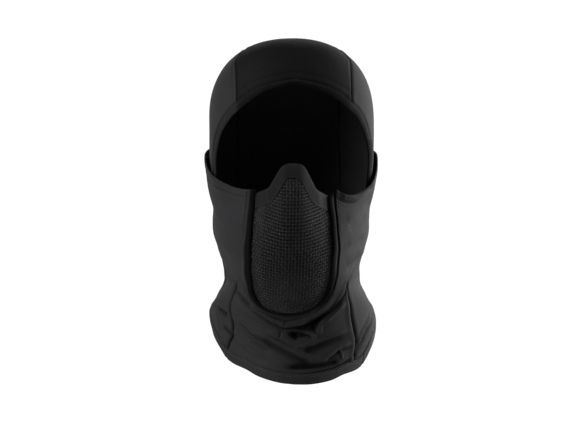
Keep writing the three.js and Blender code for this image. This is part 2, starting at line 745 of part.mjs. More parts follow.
function buildCover() {
  const pieces = [];
  const neckSeams = {};
  const collarTops = {};
  const chinSeams = {};
  const openingOuters = {};

  for (const side of [-1, 1]) {
    const wearerSide = side < 0 ? 'right' : 'left';
    const topEdge = drawnEdge(side < 0 ? cheekTopRight : cheekTopLeft, side, cells.cheekTop);
    const topStitch = offsetDrawnEdge(topEdge, -side * cheekHemWidth);
    const opening = maskOpeningEdge(side, 'outer', cells.maskOpening);
    // Both start at the mask's corner, where the cheek hem's end meets the opening's hem.
    const corner = pointAtHeight(opening, topStitch[0].y);
    topStitch[0].copy(corner);
    topEdge[0].copy(opening[0]);
    topStitch[cells.cheekTop].x = topEdge[cells.cheekTop].x;
    const belowCorner = opening.filter((p) => p.y < corner.y - 1);
    const openingBelow = evenEdge([corner, ...belowCorner], cells.maskOpening);

    const backTop = topStitch[cells.cheekTop];
    const neckSeamRows = side < 0 ? neckSeamRight : neckSeamLeft;
    const neckSeam = drawnEdge(neckSeamRows, side, cells.neckSeam);
    // All three seams of a side meet at the top of its neck seam.
    const jawSeamRows = side < 0 ? jawSeamRight : jawSeamLeft;
    const jawRows = [neckSeamRows.at(-1), ...jawSeamRows.slice(1)];
    const jawSeam = drawnEdge(jawRows, side, cells.jawSeam);
    const chinSeam = frontEdge(side < 0 ? chinSeamRight : chinSeamLeft, cells.chinSeam);
    chinSeam[0].copy(jawSeam[0]);
    const cheek = fillEdges({
      low: joinEdges([...jawSeam].reverse(), chinSeam),
      high: joinEdges([...topStitch].reverse(), openingBelow),
      start: straightEdge(jawSeam[cells.jawSeam], backTop, cells.backSeam),
      end: straightEdge(chinSeam[cells.chinSeam], openingBelow[cells.maskOpening], cells.backSeam),
    });
    const cheekHem = fillBand(topStitch, topEdge, 1);
    pieces.push(
      wallOf(`cheek_panel_${wearerSide}`, placeGrid(cheek, coverPoint), clothWall, looks.cloth),
      wallOf(`cheek_hem_${wearerSide}`, placeGrid(cheekHem, coverPoint), hemWall, looks.hem),
    );

    const sideAngles = Array.from({ length: 9 }, (unused, i) => (
      THREE.MathUtils.lerp(neckSeamRows[0].angle, 180, i / 8)
    ));
    const collarTop = evenEdge(
      sideAngles.map((angle) => onCover(side * angle, collarZ(side * angle) + collarHemWidth)),
      cells.jawSeam,
    );
    neckSeam[0].copy(collarTop[0]);
    const napeSeam = straightEdge(collarTop[cells.jawSeam], jawSeam[cells.jawSeam], cells.neckSeam);
    const neck = fillEdges({ low: collarTop, high: jawSeam, start: neckSeam, end: napeSeam });
    pieces.push(
      wallOf(`neck_panel_${wearerSide}`, placeGrid(neck, coverPoint), clothWall, looks.cloth),
    );
    neckSeams[side] = neckSeam;
    collarTops[side] = collarTop;
    chinSeams[side] = chinSeam;
    openingOuters[side] = [opening[0], ...openingBelow];
  }

  // The bib fills the front between the neck seams, from the collar hem to the chin seams.
  const frontAngles = Array.from({ length: 9 }, (unused, i) => (
    THREE.MathUtils.lerp(-neckSeamRight[0].angle, neckSeamLeft[0].angle, i / 8)
  ));
  const frontTop = evenEdge(
    frontAngles.map((angle) => onCover(angle, collarZ(angle) + collarHemWidth)),
    2 * cells.chinSeam,
  );
  const bib = fillEdges({
    low: frontTop,
    high: joinEdges(chinSeams[-1], [...chinSeams[1]].reverse()),
    start: neckSeams[-1],
    end: neckSeams[1],
  });
  pieces.push(wallOf('front_bib', placeGrid(bib, coverPoint), clothWall, looks.cloth));

  // The collar hem runs all the way round, so its last point is its first again.
  const ringTop = joinEdges([...collarTops[-1]].reverse(), frontTop, collarTops[1]).slice(0, -1);
  const ringFoot = ringTop.map((p) => (
    new THREE.Vector3(p.x, collarZ(p.x / girthPerDegree), 0)
  ));
  pieces.push(
    wallOf('collar_hem', placeGrid(fillBand(ringTop, ringFoot, 1), coverPoint), hemWall, looks.hem, true),
  );

  // The thick hem of the mask opening, from one top corner round the chin to the other.
  const openingInner = (side) => maskOpeningEdge(side, 'inner', cells.maskOpening + 1);
  const openingHem = fillBand(
    joinEdges(openingInner(-1), openingInner(1).reverse()),
    joinEdges(openingOuters[-1], [...openingOuters[1]].reverse()),
    1,
  );
  pieces.push(
    wallOf('mask_opening_hem', placeGrid(openingHem, coverPoint), hemWall, looks.hem),
  );
  return pieces;
}

// ------------------------------------------------------------------ mask

// The opening's edge in the front view, on one side, from its top corner to the chin.
const openingSide = (side) => maskOpeningRows.map((row) => ({
  x: side * row.innerX + readTwist(row.innerZ).shift,
  z: row.innerZ,
}));
const openingOutline = joinEdges(openingSide(-1), openingSide(1).reverse());

// How far a point of the front view lies inside the opening, at most the swell.
function depthIntoOpening(x, z) {
  const outline = openingOutline;
  let nearest = maskInset.swell;
  let inside = z > outline[0].z;
  for (let i = 0; i < outline.length - 1; i += 1) {
    const a = outline[i];
    const b = outline[i + 1];
    nearest = Math.min(nearest, distanceToLine(x, z, a.x, a.z, b.x, b.z));
    const crosses = (a.z > z) !== (b.z > z);
    if (crosses && x < a.x + ((z - a.z) / (b.z - a.z)) * (b.x - a.x)) inside = !inside;
  }
  return inside ? nearest : 0;
}

// Depth of the front of the cover under a point of the front view.
function coverFrontY(x, z) {
  const section = cover.read(z);
  const across = Math.min(Math.abs(x) / section.halfWidth, 0.995);
  return -section.front * Math.sqrt(1 - across ** 2);
}

// Slopes of a depth over the front view.
function slopesOf(depth, x, z) {
  const step = 0.5;
  return {
    x: (depth(x + step, z) - depth(x - step, z)) / (2 * step),
    z: (depth(x, z + step) - depth(x, z - step)) / (2 * step),
  };
}

// Depth of the mask: its own form in the opening, and an inset inside the cover round it.
function maskY(x, z, inset) {
  const form = readMask(z);
  const turned = Math.max(Math.abs(x - readTwist(z).shift) - form.flat, 0);
  const bend = turned < form.turn ? turned ** 2 / (2 * form.turn) : turned - form.turn / 2;
  const free = -form.ridge + form.slope * bend;
  const slopes = slopesOf(coverFrontY, x, z);
  const held = coverFrontY(x, z) + inset * Math.hypot(1, slopes.x, slopes.z);
  return THREE.MathUtils.lerp(
    held,
    free,
    THREE.MathUtils.smoothstep(depthIntoOpening(x, z), maskInset.start, maskInset.swell),
  );
}

function maskPoint(x, z, inset) {
  const slopes = slopesOf((atX, atZ) => maskY(atX, atZ, inset), x, z);
  return {
    point: new THREE.Vector3(x, maskY(x, z, inset), z),
    normal: new THREE.Vector3(slopes.x, -1, slopes.z).normalize(),
  };
}

// A point of the rim in the front view, tilted near the top and drawn to the wearer's right.
function rimPoint(x, z) {
  const tilted = z - maskTilt * x * THREE.MathUtils.smoothstep(z, -190, -165);
  return new THREE.Vector3(x + readTwist(z).shift, tilted, 0);
}

// Half of the rim's inner or outer edge, from the nose to the chin, in its three stretches.
function rimStretches(side, which) {
  const stretches = [
    { from: 0, to: rimSideStart, count: cells.maskNose },
    { from: rimSideStart, to: rimSideEnd, count: cells.maskSide },
    { from: rimSideEnd, to: maskRimRows.length - 1, count: cells.maskNose },
  ];
  return stretches.map(({ from, to, count }) => {
    const rows = maskRimRows.slice(from, to + 1);
    const points = rows.map((row) => rimPoint(side * row[`${which}X`], row[`${which}Z`]));
    return evenEdge(points, count);
  });
}

function buildMask() {
  const [noseRight, sideRight, chinRight] = rimStretches(-1, 'inner');
  const [noseLeft, sideLeft, chinLeft] = rimStretches(1, 'inner');
  const wire = fillEdges({
    low: joinEdges(chinRight, chinLeft.reverse()),
    high: joinEdges(noseRight.reverse(), noseLeft),
    start: sideRight.reverse(),
    end: sideLeft.reverse(),
  });
  const wirePoint = (p) => maskPoint(p.x, p.y, maskInset.inner);

  const around = (which) => joinEdges(
    joinEdges(...rimStretches(-1, which)),
    joinEdges(...rimStretches(1, which)).reverse(),
  ).slice(0, -1);
  const bandCells = 2;
  const band = fillBand(around('inner'), around('outer'), bandCells);
  const bandPoints = band.map((column) => column.map((p, j) => {
    const inset = THREE.MathUtils.lerp(maskInset.inner, maskInset.outer, j / bandCells);
    return maskPoint(p.x, p.y, inset);
  }));
  return [
    wallOf('wire_mesh', placeGrid(wire, wirePoint), meshWall, looks.wire),
    wallOf('mask_binding', bandPoints, bindingWall, looks.tape, true),
  ];
}

// ------------------------------------------------------------------ assembly

const balaclava = new THREE.Group();
balaclava.add(...buildHood(), ...buildCover(), ...buildMask());

export default balaclava;
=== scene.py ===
"""Stretch balaclava with a domed wire mask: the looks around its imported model."""

import math

import bpy
import numpy as np
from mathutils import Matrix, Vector


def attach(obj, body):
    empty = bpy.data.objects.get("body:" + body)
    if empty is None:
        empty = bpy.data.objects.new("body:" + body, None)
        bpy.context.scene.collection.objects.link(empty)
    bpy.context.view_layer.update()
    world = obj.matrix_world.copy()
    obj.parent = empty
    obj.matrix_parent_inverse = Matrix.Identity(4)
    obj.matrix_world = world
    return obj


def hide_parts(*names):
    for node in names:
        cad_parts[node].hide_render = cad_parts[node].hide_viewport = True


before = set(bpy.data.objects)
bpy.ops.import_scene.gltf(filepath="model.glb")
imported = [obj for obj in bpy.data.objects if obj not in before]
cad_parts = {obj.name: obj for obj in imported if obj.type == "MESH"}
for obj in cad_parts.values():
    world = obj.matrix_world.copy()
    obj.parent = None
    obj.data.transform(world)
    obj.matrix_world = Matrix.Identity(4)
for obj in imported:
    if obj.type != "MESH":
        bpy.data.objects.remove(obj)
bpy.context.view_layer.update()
bpy.ops.object.select_all(action="DESELECT")

MM = 0.001

# ---------------------------------------------------------------- sizes, in millimetres

CLOTH = 0.9
HEM_CLOTH = 1.4
TAPE = 1.9
ROLLED_CLOTH = 1.3
SEAM_OVERLAP = 0.35

FACE_HEM_BROW = 4
FACE_HEM_TEMPLE = 8
CHEEK_HEM = 7
COLLAR_HEM = 10
CROWN_SEAM_X = 54.5
CROWN_SEAM_IN = 10.5
# The cover is drawn flat, with its girth across, at this length for each degree of turn.
GIRTH_PER_DEGREE = 1.4

# How square the ovals are: 2 is an ellipse, and more is fuller at its corners.
HOOD_POWER = 2.3
COVER_FRONT_POWER = 2
COVER_BACK_POWER = 2.3

WIRE_RADIUS = 0.5
WIRE_PITCH_ACROSS = 3.1
WIRE_PITCH_DOWN = 3.3
THREAD_RADIUS = 0.17


# ---------------------------------------------------------------- tables


def table(columns, *rows):
    """A short table: the name of each column, and its numbers."""
    return dict(zip(columns.split(), np.array(rows, float).T))


HOOD_ROWS = table(
    "z half_width front back",
    (-75, 77.4, 95, 101),
    (-95, 77, 96, 100.5),
    (-115, 76.2, 97, 96.5),
    (-135, 74.2, 97, 89),
    (-155, 70.5, 96, 81),
    (-175, 66, 94, 76),
)
HOOD_DOME_Z = -75
HOOD_DOME_HEIGHT = 75.6

COVER_ROWS = table(
    "z half_width front back",
    (-95, 81, 100, 103.2),
    (-108, 81.8, 101, 101),
    (-118, 81.2, 102, 98.1),
    (-130, 80.2, 103, 93.6),
    (-140, 79, 104, 89.4),
    (-150, 76.7, 104, 85),
    (-160, 73.8, 106.5, 81.5),
    (-172, 73.2, 111, 77),
    (-185, 72, 118, 73),
    (-198, 69, 123, 70),
    (-210, 65, 124, 68),
    (-222, 63.6, 118, 66.5),
    (-232, 64.2, 106, 67),
    (-243, 70, 94, 71),
    (-253, 76, 89, 76.5),
    (-263, 77.8, 87.5, 82),
    (-278, 78, 86, 86),
    (-300, 77, 86, 89),
    (-330, 74, 90, 90),
)

MASK_ROWS = table(
    "z ridge flat turn slope",
    (-116, 112, 4.5, 6, 1.2),
    (-133, 119, 5, 6, 1.2),
    (-150, 125, 5, 7, 1.2),
    (-165, 128, 5, 9, 1.2),
    (-180, 129, 5, 14, 1.2),
    (-195, 128, 4, 24, 1.2),
    (-210, 123, 3, 30, 1.2),
    (-225, 114, 2, 34, 1.25),
    (-240, 103, 1, 36, 1.3),
    (-252, 93, 1, 36, 1.35),
    (-272, 76, 1, 36, 1.4),
)

FACE_EDGE = table(
    "angle z",
    (0, -42.5),
    (7.5, -44.8),
    (18.5, -50),
    (28, -57),
    (40, -67.5),
    (46.5, -73),
    (54, -81),
    (61, -90),
    (67, -100),
    (72, -112),
    (75, -128),
    (76, -148),
    (76, -168),
)
CHEEK_TOP_RIGHT = table(
    "angle z",
    (34, -142.8),
    (38.3, -142.5),
    (46.7, -140.3),
    (55, -136.8),
    (65.5, -132),
    (77, -125),
    (87, -116),
    (97, -108.5),
    (115, -103),
    (140, -100),
    (165, -98.5),
    (180, -98),
)
CHEEK_TOP_LEFT = table(
    "angle z",
    (30.5, -143.4),
    (38, -147.2),
    (46, -148),
    (55.5, -144.4),
    (65.5, -138.8),
    (76, -131.6),
    (86, -119.5),
    (96, -109.5),
    (115, -103),
    (140, -100),
    (165, -98.5),
    (180, -98),
)
MASK_OPENING = table(
    "inner_x inner_z outer_x outer_z",
    (36, -143, 42, -142.8),
    (37.6, -162, 43.6, -162),
    (39.6, -185, 45.6, -185),
    (40.2, -205, 46.2, -205),
    (39.6, -223, 45.2, -223),
    (36.8, -238, 42.7, -236),
    (31.5, -248, 37.8, -245.5),
    (21.7, -256, 30.7, -253.8),
    (10.5, -259.4, 21, -260.5),
    (4, -260.3, 9.5, -265),
    (0, -260.4, 0, -267),
)
CHIN_TWIST = table(
    "z shift",
    (-116, -1.5),
    (-130, -2.4),
    (-150, -2.6),
    (-190, -3.4),
    (-223, -3.9),
    (-240, -4.2),
    (-250, -5),
    (-260, -6.3),
    (-275, -8),
)
CHIN_SEAM_RIGHT = table(
    "x z", (-54, -231), (-51.5, -242), (-44, -251.5), (-33.5, -260), (-22, -267.5), (-10.5, -274)
)
CHIN_SEAM_LEFT = table(
    "x z",
    (50.5, -230),
    (47.5, -239),
    (41.5, -250),
    (32, -260),
    (21.5, -266),
    (6.5, -271),
    (-10.5, -274),
)
NECK_SEAM_RIGHT = table(
    "angle z",
    (54, -293.5),
    (52.4, -288),
    (50.6, -283.6),
    (48, -277.6),
    (48.2, -266.5),
    (50.4, -257),
    (53.6, -244),
    (57, -230),
)
NECK_SEAM_LEFT = table(
    "angle z",
    (47, -304.5),
    (47.4, -295),
    (48, -285.5),
    (45.2, -272.8),
    (43.8, -260),
    (46.5, -244),
    (52, -230),
)
JAW_SEAM_RIGHT = table(
    "angle z",
    (57, -230),
    (63, -228.4),
    (70, -225.4),
    (78, -220.6),
    (86, -214.5),
    (95, -206),
    (110, -188.5),
    (130, -167),
    (155, -150),
    (180, -145),
)
JAW_SEAM_LEFT = table(
    "angle z",
    (52, -230),
    (57, -225.6),
    (62, -221.2),
    (71, -215.4),
    (81, -209.5),
    (92, -201.5),
    (108, -185),
    (130, -164.5),
    (155, -149.5),
    (180, -145),
)
COLLAR = table(
    "angle z",
    (0, -326.6),
    (12, -325.6),
    (27, -321),
    (37.5, -315),
    (49.5, -310),
    (57, -304.5),
    (65, -294.5),
    (75, -283),
    (84, -272),
    (96, -263),
    (112, -261),
    (132, -268),
    (156, -283),
    (172, -289),
    (180, -290),
)
MASK_RIM = table(
    "inner_x inner_z outer_x outer_z",
    (0, -133.2, 0, -118.3),
    (5, -133.9, 6, -119),
    (8.6, -138.5, 10.5, -121.8),
    (12.3, -145.5, 15, -129),
    (16, -152, 18.3, -135),
    (20.5, -157, 22.5, -142),
    (29, -160.8, 31.5, -146.6),
    (38.5, -165, 44, -152.5),
    (43, -181, 49.5, -171),
    (43.5, -200, 50.5, -200),
    (42.4, -217, 49, -220),
    (38, -233, 44.5, -239),
    (29, -250, 33, -257),
    (15, -259, 17, -267),
    (0, -261.5, 0, -270),
)
MASK_TILT = 0.04
MASK_INSET_INNER = 4.6
MASK_INSET_OUTER = 3.7
MASK_SWELL_START = 1.5
MASK_SWELL = 13
# How far the mask's surface is worked out, with room to spare round its rim.
MASK_FOOT_Z = -268
MASK_TOP_Z = -112
MASK_HALF_WIDTH = 62


def read(rows, key, at):
    """Reads every column of a table as a smooth curve over its key column."""
    keys = rows[key]
    down = np.sign(keys[-1] - keys[0])
    at = np.asarray(at, float)
    i = np.clip(np.searchsorted(keys * down, at * down, side="right") - 1, 0, len(keys) - 2)
    span = keys[i + 1] - keys[i]
    t = np.clip((at - keys[i]) / span, 0, 1)
    result = {}
    for name, values in rows.items():
        if name == key:
            continue
        slopes = np.empty(len(keys))
        slopes[1:-1] = (values[2:] - values[:-2]) / (keys[2:] - keys[:-2])
        slopes[0] = (values[1] - values[0]) / (keys[1] - keys[0])
        slopes[-1] = (values[-1] - values[-2]) / (keys[-1] - keys[-2])
        bend = (1 - t) * slopes[i] * span - t * slopes[i + 1] * span
        lean = (1 - 2 * t) * (values[i] - values[i + 1])
        result[name] = (1 - t) * values[i] + t * values[i + 1] + t * (1 - t) * (bend + lean)
    return result


def unit(vectors):
    """The same directions with a length of one."""
    return vectors / np.maximum(np.linalg.norm(vectors, axis=-1, keepdims=True), 1e-12)


def smoothstep(x, low, high):
    """Rises smoothly from 0 at the low value to 1 at the high one."""
    t = np.clip((x - low) / (high - low), 0, 1)
    return t * t * (3 - 2 * t)


def bell(distance, width):
    """1 at no distance, fading to nought on both sides over about twice the width."""
    return np.exp(-((distance / width) ** 2))


# ---------------------------------------------------------------- skins


class Skin:
    """A stack of oval sections. It places, drops and faces points, in arrays of x, y, z."""

    def __init__(self, rows, front_power, back_power, dome=False):
        self.rows = rows
        self.powers = (front_power, back_power)
        self.dome = dome

    def rise(self, z):
        """How far up its domed top a height is: 0 at its foot, 1 at its crown."""
        if not self.dome:
            return np.zeros_like(z)
        return np.maximum(z - HOOD_DOME_Z, 0) / HOOD_DOME_HEIGHT

    def reach(self, p):
        """How far out a point is: 1 on the skin, less inside it."""
        x, y, z = p[..., 0], p[..., 1], p[..., 2]
        section = read(self.rows, "z", z)
        power = np.where(y < 0, *self.powers)
        depth = np.where(y < 0, section["front"], section["back"])
        across = (np.abs(x) / section["half_width"]) ** power
        along = (np.abs(y) / depth) ** power
        return (across + along + self.rise(z) ** power) ** (1 / power)

    def place(self, angle, z):
        """Points of the skin, by the turn from straight ahead and the height."""
        section = read(self.rows, "z", z)
        ahead = np.cos(np.radians(angle))
        aside = np.sin(np.radians(angle))
        power = np.where(ahead > 0, *self.powers)
        depth = np.where(ahead > 0, -section["front"], section["back"])
        shrink = (1 - np.minimum(self.rise(z), 1) ** power) ** (1 / power)
        x = section["half_width"] * np.sign(aside) * np.abs(aside) ** (2 / power)
        y = depth * np.abs(ahead) ** (2 / power)
        return np.stack(np.broadcast_arrays(x * shrink, y * shrink, z), -1)

    def drop(self, p):
        """Moves points out from the middle of the skin until they lie on it."""
        out = 1 / self.reach(p)
        middle = np.minimum(p[..., 2], HOOD_DOME_Z) if self.dome else p[..., 2]
        z = middle + (p[..., 2] - middle) * out
        return np.stack([p[..., 0] * out, p[..., 1] * out, z], -1)

    def facing(self, p):
        """The ways that the skin faces, straight out of it."""
        step = 0.4 * np.eye(3)
        slopes = [self.reach(p + step[axis]) - self.reach(p - step[axis]) for axis in range(3)]
        return unit(np.stack(slopes, -1))


HOOD = Skin(HOOD_ROWS, HOOD_POWER, HOOD_POWER, dome=True)
COVER = Skin(COVER_ROWS, COVER_FRONT_POWER, COVER_BACK_POWER)


def on_cover(angle, z):
    """Points drawn on the cover: their girth and their height."""
    return np.stack(np.broadcast_arrays(np.asarray(angle) * GIRTH_PER_DEGREE, z), -1)


def on_cover_front(x, z):
    """The same points for an x of the front view."""
    across = np.minimum(np.abs(x) / read(COVER_ROWS, "z", z)["half_width"], 1)
    angle = np.degrees(np.arcsin(across))
    return on_cover(np.sign(x) * angle, z)


# ---------------------------------------------------------------- edges


class Edge:
    """A smooth curve through points, read from 0 to 1 by its length."""

    def __init__(self, points, smooth=True):
        points = np.asarray(points, float)
        line = self.curve(points) if smooth else points
        steps = np.linalg.norm(np.diff(line, axis=0), axis=1)
        self.line = line
        self.at = np.concatenate([[0], np.cumsum(steps)])
        self.length = self.at[-1]

    @staticmethod
    def curve(points, steps=24):
        """Centripetal Catmull-Rom curve through the points."""
        first = 2 * points[0] - points[1]
        last = 2 * points[-1] - points[-2]
        all_points = np.vstack([first, points, last])
        t = np.linspace(0, 1, steps, endpoint=False)[:, None]
        line = []
        for p0, p1, p2, p3 in zip(all_points, all_points[1:], all_points[2:], all_points[3:]):
            d0 = np.linalg.norm(p1 - p0) ** 0.5
            d1 = np.linalg.norm(p2 - p1) ** 0.5
            d2 = np.linalg.norm(p3 - p2) ** 0.5
            t1 = ((p1 - p0) / d0 - (p2 - p0) / (d0 + d1) + (p2 - p1) / d1) * d1
            t2 = ((p2 - p1) / d1 - (p3 - p1) / (d1 + d2) + (p3 - p2) / d2) * d1
            c2 = -3 * p1 + 3 * p2 - 2 * t1 - t2
            c3 = 2 * p1 - 2 * p2 + t1 + t2
            line.append(p1 + t1 * t + c2 * t**2 + c3 * t**3)
        return np.vstack([*line, points[-1:]])

    def __call__(self, u):
        """Points at shares of the length."""
        at = np.asarray(u) * self.length
        return np.stack([np.interp(at, self.at, values) for values in self.line.T], -1)


def back(edge):
    """The same edge, run from its end to its start."""
    return lambda u: edge(1 - np.asarray(u))


def joined(*stretches):
    """Edges end to end as one. Each comes with its share of the cells."""
    counts = [count for _, count in stretches]
    ends = np.cumsum([0] + counts) / sum(counts)

    def read_joined(u):
        u = np.asarray(u, float)
        which = np.clip(np.searchsorted(ends, u, side="right") - 1, 0, len(stretches) - 1)
        parts = []
        for (edge, _), a, b in zip(stretches, ends, ends[1:]):
            parts.append(edge(np.clip((u - a) / (b - a), 0, 1)))
        return np.choose(which[..., None], parts)

    return read_joined


def coons(low, high, start, end, s, t):
    """Fills four edges. low and high run from start to end, and start and end from low to high."""
    a, b = s[:, None, None], t[None, :, None]
    corners = [edge(np.array(u)) for edge in (low, high) for u in (0.0, 1.0)]
    return (
        (1 - b) * low(s)[:, None]
        + b * high(s)[:, None]
        + (1 - a) * start(t)[None]
        + a * end(t)[None]
        - (1 - a) * (1 - b) * corners[0]
        - a * (1 - b) * corners[1]
        - (1 - a) * b * corners[2]
        - a * b * corners[3]
    )


# Each graded step is this much longer than the one before it.
GRADE = 1.35


def steps(length, step, first, grade_low=True, grade_high=True):
    """Shares along a length in millimetres, with fine steps by the ends that are graded."""
    near = [0.0]
    width = first
    while width < step and near[-1] < length / 3:
        near.append(near[-1] + width)
        width *= GRADE
    low = near if grade_low else [0.0]
    high = near if grade_high else [0.0]
    middle = length - low[-1] - high[-1]
    even = np.linspace(low[-1], length - high[-1], max(round(middle / step), 1) + 1)
    return np.concatenate([low[:-1], even, length - np.array(high[:-1])[::-1]]) / length


def shares(stretches, step, first):
    """Shares for edges made of stretches, each given as its length and its cells."""
    total = sum(cells for _, cells in stretches)
    last = len(stretches) - 1
    at = []
    start = 0
    for number, (length, cells) in enumerate(stretches):
        local = steps(length, step, first, number == 0, number == last)
        at.append((start + local[number > 0 :] * cells) / total)
        start += cells
    return np.concatenate(at)


# ---------------------------------------------------------------- shells of cloth


# A cell smaller than this share of the middling one takes its normal from the skin. A ring
# has no ends, so they count as this far away.
WEAK_CELL = 0.05
FAR_AWAY = 1e3


def grid_slope(grid, axis, ring):
    """Steps from row to row of a grid, or from column to column. A ring has no ends."""
    if ring and axis == 0:
        return (np.roll(grid, -1, 0) - np.roll(grid, 1, 0)) / 2
    return np.gradient(grid, axis=axis)


def grid_normals(grid, facing, ring):
    """Normals of a grid of points, on the side that its skin faces."""
    across = np.cross(grid_slope(grid, 0, ring), grid_slope(grid, 1, ring))
    size = np.linalg.norm(across, axis=-1, keepdims=True)
    normals = across / np.maximum(size, 1e-9)
    if np.sum(normals * facing) < 0:
        normals = -normals
    # Cells that are almost closed have no sure normal of their own.
    weak = size < WEAK_CELL * np.median(size)
    return unit(np.where(weak, facing, normals))


def distances(grid, axis, ring=False):
    """Length from the low end and to the high end of every row of a grid."""
    if ring and axis == 0:
        far = np.full(grid.shape[:2], FAR_AWAY)
        return far, far
    size = np.linalg.norm(np.diff(grid, axis=axis), axis=-1)
    run = np.cumsum(size, axis=axis)
    zero = np.zeros_like(np.take(run, [0], axis=axis))
    run = np.concatenate([zero, run], axis=axis)
    return run, np.take(run, [-1], axis=axis) - run


class Cloth:
    """A sheet of cloth over a grid of points in millimetres, ready to be made a mesh."""

    def __init__(self, grid, facing, ring=False):
        self.ring = ring
        self.skin = facing
        self.mid = grid
        self.flat = grid
        self.start, self.end = distances(grid, 0, ring)
        self.low, self.high = distances(grid, 1)
        self.run = distances(grid, 0)[0]
        # Painted shade: how far the cloth's colour is darkened at each point.
        self.shade = np.zeros(grid.shape[:2])

    def lift(self, height):
        """Moves the cloth off its skin by a height at each point."""
        self.mid = self.mid + self.skin * np.asarray(height)[..., None]
        return self

    def paint_shade(self, strength):
        """Paints shade into the cloth's colour where little light reaches it."""
        self.shade = np.maximum(self.shade, strength)
        return self

    def mark(self, distance, width, strength=1.0):
        """Paints shade into the cloth's colour along the line where two cloths meet or a thread
        pulls one in.
        """
        return self.paint_shade(strength * bell(distance, width))

    def line(self, share, lift):
        """Points and normals of a line along the cloth, at a share of its width."""
        columns = self.mid.shape[1] - 1
        at = share * columns
        j = int(min(at, columns - 1))
        points = self.mid[:, j] * (j + 1 - at) + self.mid[:, j + 1] * (at - j)
        normals = unit(grid_normals(self.mid, self.skin, self.ring)[:, j])
        return points + normals * lift, normals


def rim_loops(rows, columns, ring):
    """Places round the rim of a grid, in order, in one loop or in two."""
    if ring:
        return [
            [(i, 0) for i in range(rows)],
            [(i, columns - 1) for i in reversed(range(rows))],
        ]
    loop = [(i, 0) for i in range(rows)]
    loop += [(rows - 1, j) for j in range(1, columns)]
    loop += [(i, columns - 1) for i in reversed(range(rows - 1))]
    loop += [(0, j) for j in reversed(range(1, columns - 1))]
    return [loop]


def inward_steps(grid, ring):
    """Unit steps in from the rim of a grid, over its surface. They are nought inside it."""
    inward = np.zeros_like(grid)
    sides = [(1, 0, 1), (1, -1, -2)]
    if not ring:
        sides += [(0, 0, 1), (0, -1, -2)]
    for axis, rim, behind in sides:
        rim_line = np.take(grid, rim, axis=axis)
        step = np.take(grid, behind, axis=axis) - rim_line
        closed = ring and axis == 1
        if closed:
            along = unit(np.roll(rim_line, -1, 0) - np.roll(rim_line, 1, 0))
        else:
            along = unit(np.gradient(rim_line, axis=0))
        step = unit(step - along * np.sum(step * along, axis=-1, keepdims=True))
        if axis == 1:
            inward[:, rim] += step
        else:
            inward[rim, :] += step
    return inward


# A rolled rim: its points stand at these turns about the edge of the cloth, and its colour
# goes over from the face to the wrong side by these shares.
RIM_TURNS = np.radians([45, 0, -45])
RIM_SHARES = (0, 0.5, 1)


def make_shell(name, cloth, thickness):
    """Makes a cloth a closed wall with a rolled rim, half its thickness to each side."""
    ring = cloth.ring
    inward = inward_steps(cloth.mid, ring)
    mid = cloth.mid + inward * (thickness - SEAM_OVERLAP) / 2
    normals = grid_normals(mid, cloth.skin, ring)
    outer = mid + normals * thickness / 2
    inner = mid - normals * thickness / 2
    rows, columns = mid.shape[:2]
    size = rows * columns
    index = np.arange(size).reshape(rows, columns)
    row = np.arange(rows if ring else rows - 1)
    next_row = (row + 1) % rows
    a = index[row][:, :-1]
    b = index[next_row][:, :-1]
    c = index[next_row][:, 1:]
    d = index[row][:, 1:]
    quads = np.stack([a, b, c, d], -1).reshape(-1, 4)
    behind = np.stack([a, d, c, b], -1).reshape(-1, 4) + size
    points = [outer.reshape(-1, 3), inner.reshape(-1, 3)]
    faces = [quads, behind]

    loops = rim_loops(rows, columns, ring)
    offset = 2 * size
    for loop in loops:
        i, j = np.array(loop).T
        out = -unit(inward[i, j])
        layers = [index[i, j]]
        for turn in RIM_TURNS:
            way = out * np.cos(turn) + normals[i, j] * np.sin(turn)
            points.append(mid[i, j] + thickness / 2 * way)
            layers.append(offset + np.arange(len(loop)))
            offset += len(loop)
        layers.append(index[i, j] + size)
        ahead = np.roll(np.arange(len(loop)), -1)
        for over, under in zip(layers, layers[1:]):
            faces.append(np.stack([over[ahead], over, under, under[ahead]], -1))

    rim_i, rim_j = np.array([place for loop in loops for _ in RIM_TURNS for place in loop]).T

    def everywhere(values):
        """Values of the cloth's grid for its face, its wrong side and its rim."""
        return np.concatenate([values.reshape(-1), values.reshape(-1), values[rim_i, rim_j]])

    # The pattern's own map: lengths across and along the cloth.
    pattern = np.stack([everywhere(cloth.low), everywhere(cloth.run)], -1)
    piece = make_mesh(name, np.vstack(points), np.vstack(faces), pattern)
    rim_sides = [np.full(len(loop), share) for loop in loops for share in RIM_SHARES]
    inner_side = np.concatenate([np.zeros(size), np.ones(size), *rim_sides])
    # The wrong side, and the painted shade of seams and hollows, go with the mesh as masks.
    for label, values in (("inner_side", inner_side), ("painted_shade", everywhere(cloth.shade))):
        layer = piece.data.attributes.new(label, "FLOAT", "POINT")
        layer.data.foreach_set("value", values.astype(np.float32))
    return piece


def make_mesh(name, points, faces, pattern):
    """Makes a smooth mesh with its own map, and with its faces pointing out."""
    corners = points[faces]
    first = corners[:, 0]
    volume = 0.0
    for k in range(1, faces.shape[1] - 1):
        volume += np.sum(first * np.cross(corners[:, k], corners[:, k + 1]))
    if volume < 0:
        faces = faces[:, ::-1]
    piece = new_piece(name, points, faces.tolist())
    layer = piece.data.uv_layers.new(name="cloth_map")
    layer.data.foreach_set("uv", (pattern[faces.reshape(-1)] * MM).astype(np.float32).reshape(-1))
    return piece


def new_piece(name, points, faces):
    """Makes a smooth mesh of points in millimetres and lists of their places in each face."""
    mesh = bpy.data.meshes.new(name)
    mesh.from_pydata((points * MM).tolist(), [], faces)
    mesh.shade_smooth()
    mesh.validate()
    piece = bpy.data.objects.new(name, mesh)
    bpy.context.scene.collection.objects.link(piece)
    return piece


# ---------------------------------------------------------------- seams, puckers and folds


